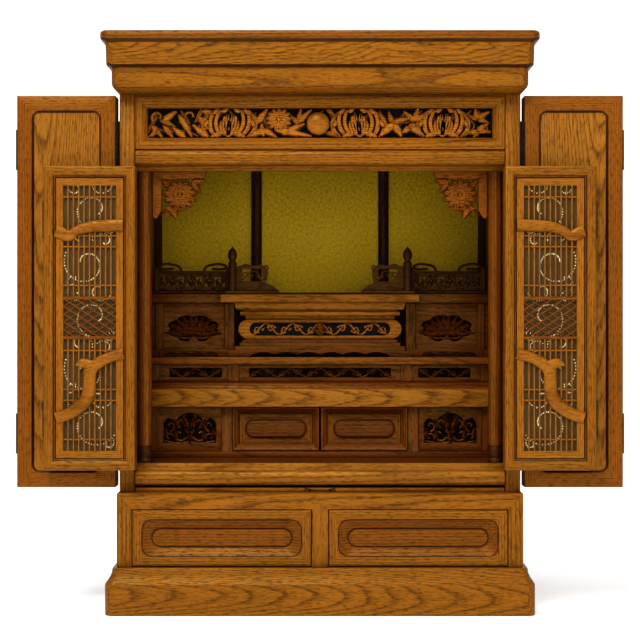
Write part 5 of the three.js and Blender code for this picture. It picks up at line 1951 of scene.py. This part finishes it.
@dataclass
class Altar:
    """The altar: moulded top with its rails, a pierced waist and a stepped foot."""

    def build(self) -> None:
        """Builds the altar's pieces."""
        top = replace(PLAIN_LEVEL, name="altar_top", heart=(0.33, 0.3))
        Piece.copied("altar_top").soften(0.5 * MM, 50).stand_for("altar_top", top, sharp=24)
        base = replace(PLAIN_LEVEL, name="altar_base", heart=(0.27, 0.3), tone=Tone.BROWN)
        self.foot(base)
        self.waist()
        for side in Side:
            self.rail(side)

    def foot(self, finish: Wood) -> None:
        """Builds the stepped foot, its front board cut away below in waves.

        Args:
            finish: its wood.
        """
        low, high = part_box("altar_base")
        piece = Piece()
        steps = ((5.2, 95.2, 3), (11.6, 95.2, 3), (11.8, 89.9, 5), (15.6, 89.9, 5), (16.2, 87, 8),
                 (18.4, 87, 8), (18.9, 84, 12), (19.7, 84, 12))
        outlines = []
        for height, reach, front in steps:
            half, y0 = reach * MM, low.y + front * MM
            corners = ((-half, y0), (half, y0), (half, high.y), (-half, high.y))
            outlines.append([Vector((x, y, low.z + height * MM)) for x, y in corners])
        piece.loft(outlines)
        half, top = high.x, low.z + 7.4 * MM
        waves = [(half, low.z), (half, top), (-half, top), (-half, low.z), (-78 * MM, low.z)]
        waves += [(-76 * MM + 152 * MM * i / 48, low.z + (2.4 + 2.8 * abs(sin(pi * i / 8))) * MM)
                  for i in range(49)]
        waves.append((78 * MM, low.z))
        fretwork(piece, [waves], low.y, low.y + 6 * MM)
        for side in (-1, 1):
            x0, x1 = sorted(mm(side * 78, side * 95))
            piece.bar((x0, low.y + 5 * MM, low.z), (x1, high.y, low.z + 6 * MM))
        piece.stand_for("altar_base", finish)

    def waist(self) -> None:
        """Builds the waist: a round-ended panel whose opening is filled with vine."""
        low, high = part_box("altar_waist")
        middle, tall = (low.z + high.z) / 2, high.z - low.z
        half = high.x
        outline = stadium(-half, half, low.z, high.z, 12)
        window = stadium(-79 * MM, 79 * MM, middle - 7.3 * MM, middle + 7.3 * MM, 10)
        piece = fretwork(Piece(), [outline, window], low.y, low.y + 6 * MM, MM)
        relief = Carving(low.y + 3.6 * MM, 0.7)
        relief.vine(0, middle, 76 * MM, tall * 0.66, 5, 2.2 * MM)
        relief.leaf(0, middle - 6.6 * MM, 14 * MM, pi / 2, 1.4 * MM)
        for end in (-1, 1):
            relief.scroll(end * 6 * MM, middle - 1.5 * MM, 3.8 * MM, pi * (0.5 + 0.5 * end), -end * 4.2,
                          1.8 * MM, MM)
        finish = replace(CARVED, name="waist", heart=(0.5, 0.3))
        # the blades' edge strips take the second finish: painted shade
        relief.join_to(piece).stand_for("altar_waist", [finish, PAINTED_SHADE], slot="carved_wood")
        core = Piece().bar((-84 * MM, low.y + 6.3 * MM, low.z), (84 * MM, high.y, high.z), 0.3 * MM)
        core.done("altar_core", Lacquer(), slot="black_lacquer")

    def rail(self, side: Side) -> None:
        """Builds a rail on the altar: a newel with an onion finial and a scrolled wing.

        Args:
            side: the side that it is on.
        """
        low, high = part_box("altar_rail_right")
        y = low.y + 6.2 * MM
        foot = low.z
        piece = Piece().bar((low.x, low.y, foot), (high.x, high.y, foot + 4.1 * MM), 0.7 * MM)
        profile = [(0, 0), (4.7, 0), (4.7, 31), (4.2, 32), (3.2, 32.6), (3.2, 34.2), (4.3, 35.4), (5.2, 38.4),
                   (5.1, 41), (4.2, 44), (2.6, 46.4), (1.3, 47.8), (0.5, 49), (0, 49.4)]
        shaft = foot + 4 * MM
        scale = (high.z - shaft) / (profile[-1][1] * MM)
        piece.lathe([(r * MM, h * MM * scale) for r, h in profile], (98.2 * MM, y - MM, shaft), 24)
        wing = ((94, 339.4), (94, 366), (88, 367.4), (84, 369.6), (80, 368.2), (74, 367.4), (67, 368.6),
                (61, 366.4), (58.4, 361), (58.8, 354), (60.6, 348), (57, 345.4), (52, 342.6), (48, 341),
                (47.4, 339.4))
        window = ((87, 349.6), (87, 363.6), (67, 363.6), (63.4, 360.4), (63.4, 354), (66, 349.6))
        fretwork(piece, [in_metres(wing), in_metres(window)], y - 2 * MM, y + MM)
        relief = Carving(y - 1.6 * MM, 0.7)
        for x, z, radius, start, sweep, width in (
            (68.5, 357, 5.4, 2.4, 4.6, 2), (77, 357.6, 5, 0.4, -4.2, 1.8), (84, 356, 4.4, 2.8, -4.2, 1.8),
        ):
            relief.scroll(*mm(x, z, radius), start, sweep, width * MM)
        relief.stroke(in_metres(((66, 351), (73, 361), (87, 351))), 1.8 * MM)
        relief.scroll(*mm(60.4, 364, 3.4), 1.2, 4.4, *mm(2.2, 0.8))
        relief.stroke(in_metres(((50, 343), (66, 347.6), (92, 346))), *mm(1.4, 0.8))
        relief.join_to(piece).mirrored(side).stand_for(
            side.name_of("altar_rail"), DARK_LEVEL, slot="dark_wood", sharp=45
        )


@dataclass
class LowerShelves:
    """The pierced band, the counter, and the panels beside the small drawers."""

    def build(self) -> None:
        """Builds the pieces below the altar."""
        self.band()
        counter = Wood(
            "counter", Tone.HONEY, Grain.LEVEL, heart=(0.222, 0.066), lean=0.05, ring=0.002, wander=0.003
        )
        top = replace(INSIDE_LEVEL, name="counter_top")
        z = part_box("counter")[0].z + 20.4 * MM
        Piece.copied("counter").soften(0.8 * MM).stand_for(
            "counter", [counter, top], pick=lambda middle, normal: int(middle.z > z)
        )
        Piece.copied("lower_frame").soften(0.5 * MM).stand_for(
            "lower_frame", [INSIDE_LEVEL, INSIDE_UPRIGHT],
            pick=lambda middle, normal: int(middle.z > 163 * MM),
        )
        for side in Side:
            self.panel(side)

    def band(self) -> None:
        """Builds the pierced board under the step, with its posts and vine."""
        low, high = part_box("band")
        y0 = low.y + 2.5 * MM
        middle = 247.3 * MM
        bays = ((0, 79, 5), (-139, 29, 2), (139, 29, 2))
        windows = [rectangle((x - half) * MM, (x + half) * MM, middle - 5.3 * MM, middle + 5.3 * MM)
                   for x, half, _ in bays]
        board = rectangle(low.x, high.x, low.z, high.z)
        piece = fretwork(Piece(), [board, *windows], y0, high.y)
        relief = Carving(y0 + 2 * MM, 0.7)
        for x, half, lobes in bays:
            relief.vine(x * MM, middle, half * MM, 10.4 * MM, lobes, 1.6 * MM)
        relief.join_to(piece)
        posts = ((-183, 4.5), (-96.4, 6.3), (96.4, 6.3), (183, 4.5))
        for x, half in posts:
            piece.bar(((x - half) * MM, low.y, low.z), ((x + half) * MM, high.y, high.z), 0.5 * MM)

        def pick(face: Vector, normal: Vector) -> int:
            """Upright wood on the posts."""
            return int(any(abs(face.x - x * MM) < half * MM and face.y < y0 + 0.1 * MM for x, half in posts))

        piece.stand_for("band", [INSIDE_LEVEL, INSIDE_UPRIGHT], pick=pick)

    def panel(self, side: Side) -> None:
        """Builds the panel beside the small drawers: mirrored scrolls in a cloud-topped opening.

        Args:
            side: the side that it is on.
        """
        low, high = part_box("lower_carving_right")
        y0 = low.y + 3 * MM
        x, floor, shoulder = 144.2 * MM, 170.2 * MM, 192 * MM
        half, lobe = 29 * MM, 17 * MM
        top = []
        for start, end, rise in ((half, lobe, 5.5 * MM), (lobe, -lobe, 11.5 * MM), (-lobe, -half, 5.5 * MM)):
            for share in (i / 8 for i in range(9)):
                top.append((x + start + (end - start) * share, shoulder + rise * sin(pi * share) ** 0.7))
        opening = [(x - half, floor), (x + half, floor), *top]
        board = rectangle(109.3 * MM, high.x, low.z, high.z)
        piece = fretwork(Piece(), [board, opening], y0, high.y)
        relief = Carving(y0 + 2.2 * MM, 0.7)
        for end in (-1, 1):
            for dx, dz, radius, start, sweep, width in (
                (11.5, 9, 8.2, 3.5, 4.9, 2.7), (22, 18.5, 6.0, 4.6, -4.6, 2.4), (9, 22, 5.6, 5.0, 4.4, 2.3),
                (22.5, 6, 4.6, 2.6, -4.4, 2.2), (4.5, 29, 3.4, 4.4, 4.0, 2.0), (16, 28, 3.2, 0.6, 4.0, 1.9),
                (2.6, 14, 2.6, 4.4, 4.0, 1.8), (26.5, 26, 2.6, 2.4, -4.0, 1.8),
            ):
                relief.scroll(
                    x + end * dx * MM, floor + dz * MM, radius * MM, start if end > 0 else pi - start,
                    end * sweep, width * MM, 0.4 * MM,
                )
            ground = ((0, 1), (10, -0.5), (28, 2))
            points = [(x + end * across * MM, floor + up * MM) for across, up in ground]
            relief.stroke(points, mm(2.2, 2, 1.4))
        leaves = ((0, 2, 0, 12), (3, 16, 7, 27), (14, 17, 17, 25), (17, 4, 16, 13), (27, 8, 27, 15))
        for x0, z0, x1, z1 in leaves:
            for end in (-1, 1):
                foot, tip = ((x + end * across * MM, floor + up * MM) for across, up in ((x0, z0), (x1, z1)))
                relief.blade(foot, tip, 4 * MM, end * 0.8 * MM, 0.4 * MM, 2)
        relief.join_to(piece)
        piece.bar((POST[0], low.y, low.z), (POST[1], high.y, high.z), 0.5 * MM)
        piece.mirrored(side).stand_for(
            side.name_of("lower_carving"), [INSIDE_LEVEL, INSIDE_UPRIGHT],
            pick=lambda middle, normal: int(abs(middle.x) > POST[0]),
        )


# ---- hinges


@dataclass
class Hinges:
    """Butt hinges on the leaves' hinge lines: beaded barrels, with plates on the boards' edges."""

    joints: Sequence[dict[str, Any]]
    knuckles: int = 9

    def build(self) -> None:
        """Hangs every leaf."""
        places = {joint["name"]: joint["pos_m"] for joint in self.joints if "pos_m" in joint}
        for side in Side:
            word = side.word
            door, fold = (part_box(side.name_of(part)) for part in ("outer_door", "outer_fold"))
            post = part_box(side.name_of("side"))
            for part, body, radius, spans in (
                ("outer_door", "root", 1.5, ((468, 515), (150, 197))),
                ("outer_fold", "outer_door", 1.3, ((464, 506), (166, 208))),
                ("inner_door", "root", 1.15, ((389, 430), (186, 225))),
                ("inner_fold", "inner_door", 1.15, ((391, 431), (184, 222))),
            ):
                x, y, _ = places[f"{word}_{part}"]
                rides = body if body == "root" else f"{word}_{body}"
                self.barrels(f"{part}_hinge_{word}", (x, y), radius * MM, spans, rides)
                if part == "outer_door":
                    self.plates(f"post_plate_{word}", side, post, 2.0, spans, "root", post[0].y + 0.6 * MM)
                elif part == "outer_fold":
                    self.plates(f"door_plate_{word}", side, door, 1.15, spans, f"{word}_outer_door")
                    self.plates(f"fold_plate_{word}", side, fold, 1.15, spans, f"{word}_outer_fold")

    @staticmethod
    def plates(name: str, side: Side, box: tuple[Vector, Vector], thick: float, spans: Sequence[Pair],
               body: str, front: Optional[float] = None) -> None:
        """Builds a pair of plates on a board's outer edge.

        Args:
            name: their name.
            side: the side that they are on.
            box: the board's box.
            thick: their thickness in millimetres.
            spans: the lowest and highest point of each, in millimetres.
            body: the body that they move with.
            front: where they start, if not just behind the board's front.
        """
        edge = box[1].x if side is Side.RIGHT else box[0].x
        margin, wide, gap = mm(1.4, 12, 0.03)
        y0 = box[0].y + margin if front is None else front
        y1 = min(box[1].y - margin, y0 + wide)
        x0, x1 = sorted((edge + side.value * gap, edge + side.value * thick * MM))
        piece = Piece()
        for low, high in spans:
            piece.bar((x0, y0, low * MM), (x1, y1, high * MM), 0.3 * MM)
        piece.done(name, IRON, body=body, slot="iron")

    def barrels(self, name: str, place: Pair, radius: float, spans: Sequence[Pair], body: str) -> None:
        """Builds a pair of barrels.

        Args:
            name: their name.
            place: the hinge line in X and Y.
            radius: the barrel's radius.
            spans: the lowest and highest point of each barrel, in millimetres.
            body: the body that they move with.
        """
        piece = Piece()
        neck, tip = radius * 0.82, radius * 0.6
        for low, high in spans:
            tall = (high - low) * MM
            profile = [(0.0, 0.0), (tip, 0.2 * MM)]
            for i in range(self.knuckles):
                z0, z1 = tall * i / self.knuckles, tall * (i + 1) / self.knuckles
                profile += [(neck, z0 + 0.4 * MM), (radius, z0 + 0.8 * MM), (radius, z1 - 0.8 * MM),
                            (neck, z1 - 0.4 * MM)]
            profile += [(tip, tall - 0.2 * MM), (0.0, tall)]
            piece.lathe(profile, (*place, low * MM), 16)
        piece.done(name, IRON, body=body, slot="iron", sharp=60)


# ---- setting


@dataclass
class Studio:
    """A plain pale floor and backdrop, soft light, and a level camera in front of the doors."""

    distance: float = 2.03
    height: float = 306.2 * MM
    lens: float = 108.75
    daylight: float = 0.38

    def build(self) -> None:
        """Builds the floor, the lights and the camera."""
        self.camera()
        self.floor()
        self.light("key", (-0.5, -1.5, 1.9), 1.1, 50, (0, 0, 0.33))
        self.light("fill", (1.0, -2.0, 0.9), 1.4, 9, (0, 0, 0.3))
        self.light("front", (0, -2.6, 0.5), 1.0, 7, (0, 0, 0.3))
        self.light("top", (0, -0.3, 1.9), 1.4, 12, (0, 0, 0.3))
        world = bpy.data.worlds.new("studio")
        world.use_nodes = True
        colour, strength = world.node_tree.nodes["Background"].inputs[:2]
        colour.default_value = (1, 1, 1, 1)
        strength.default_value = self.daylight
        scene = bpy.context.scene
        scene.world = world
        scene.view_settings.view_transform = "Standard"
        scene.view_settings.look = "Medium High Contrast"

    def camera(self) -> None:
        """Sets up the camera."""
        data = bpy.data.cameras.new("camera")
        data.lens = self.lens
        camera = bpy.data.objects.new("camera", data)
        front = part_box("side_left")[0].y
        camera.location = (0, front - self.distance, self.height)
        camera.rotation_euler = (pi / 2, 0, 0)
        show(camera)
        bpy.context.scene.camera = camera

    def floor(self) -> None:
        """Lays the floor and curves it up behind the cabinet."""
        piece = Piece()
        reach, rise, start, bend = 4.5, 3.5, 3.6, 0.8
        line = [(-reach, 0.0), (start, 0.0)]
        line += [(start + bend * sin(a), bend * (1 - cos(a)))
                 for a in (pi / 2 * i / 12 for i in range(1, 13))]
        line.append((start + bend, rise))
        verts = [piece.bm.verts.new((-reach, y, z)) for y, z in line]
        edges = [piece.bm.edges.new(pair) for pair in zip(verts, verts[1:])]
        made = bmesh.ops.extrude_edge_only(piece.bm, edges=edges)["geom"]
        moved = [item for item in made if isinstance(item, bmesh.types.BMVert)]
        bmesh.ops.translate(piece.bm, vec=(2 * reach, 0, 0), verts=moved)
        for face in piece.bm.faces:
            face.smooth = True
        mesh = bpy.data.meshes.new("backdrop")
        piece.bm.to_mesh(mesh)
        piece.bm.free()
        mesh.materials.append(dressing(Backdrop()))
        backdrop = bpy.data.objects.new("backdrop", mesh)
        show(backdrop)
        backdrop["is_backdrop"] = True

    @staticmethod
    def light(name: str, place: Sequence[float], size: float, power: float, aim: Sequence[float]) -> None:
        """Hangs a square soft light.

        Args:
            name: the light's name.
            place: where it hangs.
            size: its width.
            power: its power in watts.
            aim: the point that it faces.
        """
        data = bpy.data.lights.new(name, "AREA")
        data.size = size
        data.energy = power
        lamp = bpy.data.objects.new(name, data)
        lamp.location = place
        lamp.rotation_euler = (Vector(aim) - Vector(place)).to_track_quat("-Z", "Y").to_euler()
        show(lamp)


def corners(bounds: Any) -> list[list[float]]:
    """A bounding box's two corners as plain numbers."""
    return [[float(value) for value in corner] for corner in bounds]


def main() -> None:
    """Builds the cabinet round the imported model."""
    logging.basicConfig(level=logging.INFO, format="%(name)s: %(message)s", stream=sys.stdout)
    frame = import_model()
    packed = corners(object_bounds())
    parts: list[Any] = [Studio(), Case()]
    base = Wood("base_drawer_rail", grain=Grain.LEVEL, heart=(0.4, 0.2), ring=0.003, wander=0.005)
    base_stile = replace(base, name="base_drawer_stile", grain=Grain.UPRIGHT, heart=(0.6, 0.2))
    # the hollow's darker tone is painted shade in the recess
    hollow = replace(base, name="base_drawer_hollow", tone=Tone.AMBER)
    small = replace(base, name="small_drawer_rail", tone=Tone.BROWN)
    small_field = replace(small, name="small_drawer_field")
    small_stile = replace(base_stile, name="small_drawer_stile", tone=Tone.AMBER)
    for side in Side:
        parts += [
            Drawer(
                side.name_of("base_drawer"), 14 * MM, BASE_DRAWER_STEPS, 10.6 * MM,
                (base, base_stile, hollow, PLAIN_INWARD),
            ),
            Drawer(
                side.name_of("small_drawer"), 10 * MM, SMALL_DRAWER_STEPS, 13.8 * MM,
                (small, small_stile, small_field, PLAIN_INWARD),
            ),
            OuterLeaf(side, "outer_door"), OuterLeaf(side, "outer_fold"),
            InnerLeaf(side, "inner_door"), InnerLeaf(side, "inner_fold"),
        ]
    parts += [Transom(), Sanctum(), Altar(), LowerShelves(), Hinges(frame["joints"])]
    for part in parts:
        part.build()
        LOG.info("built %s", type(part).__name__)
    sizes = {"packed": packed, "visual": corners(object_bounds())}


if __name__ == "__main__":
    main()
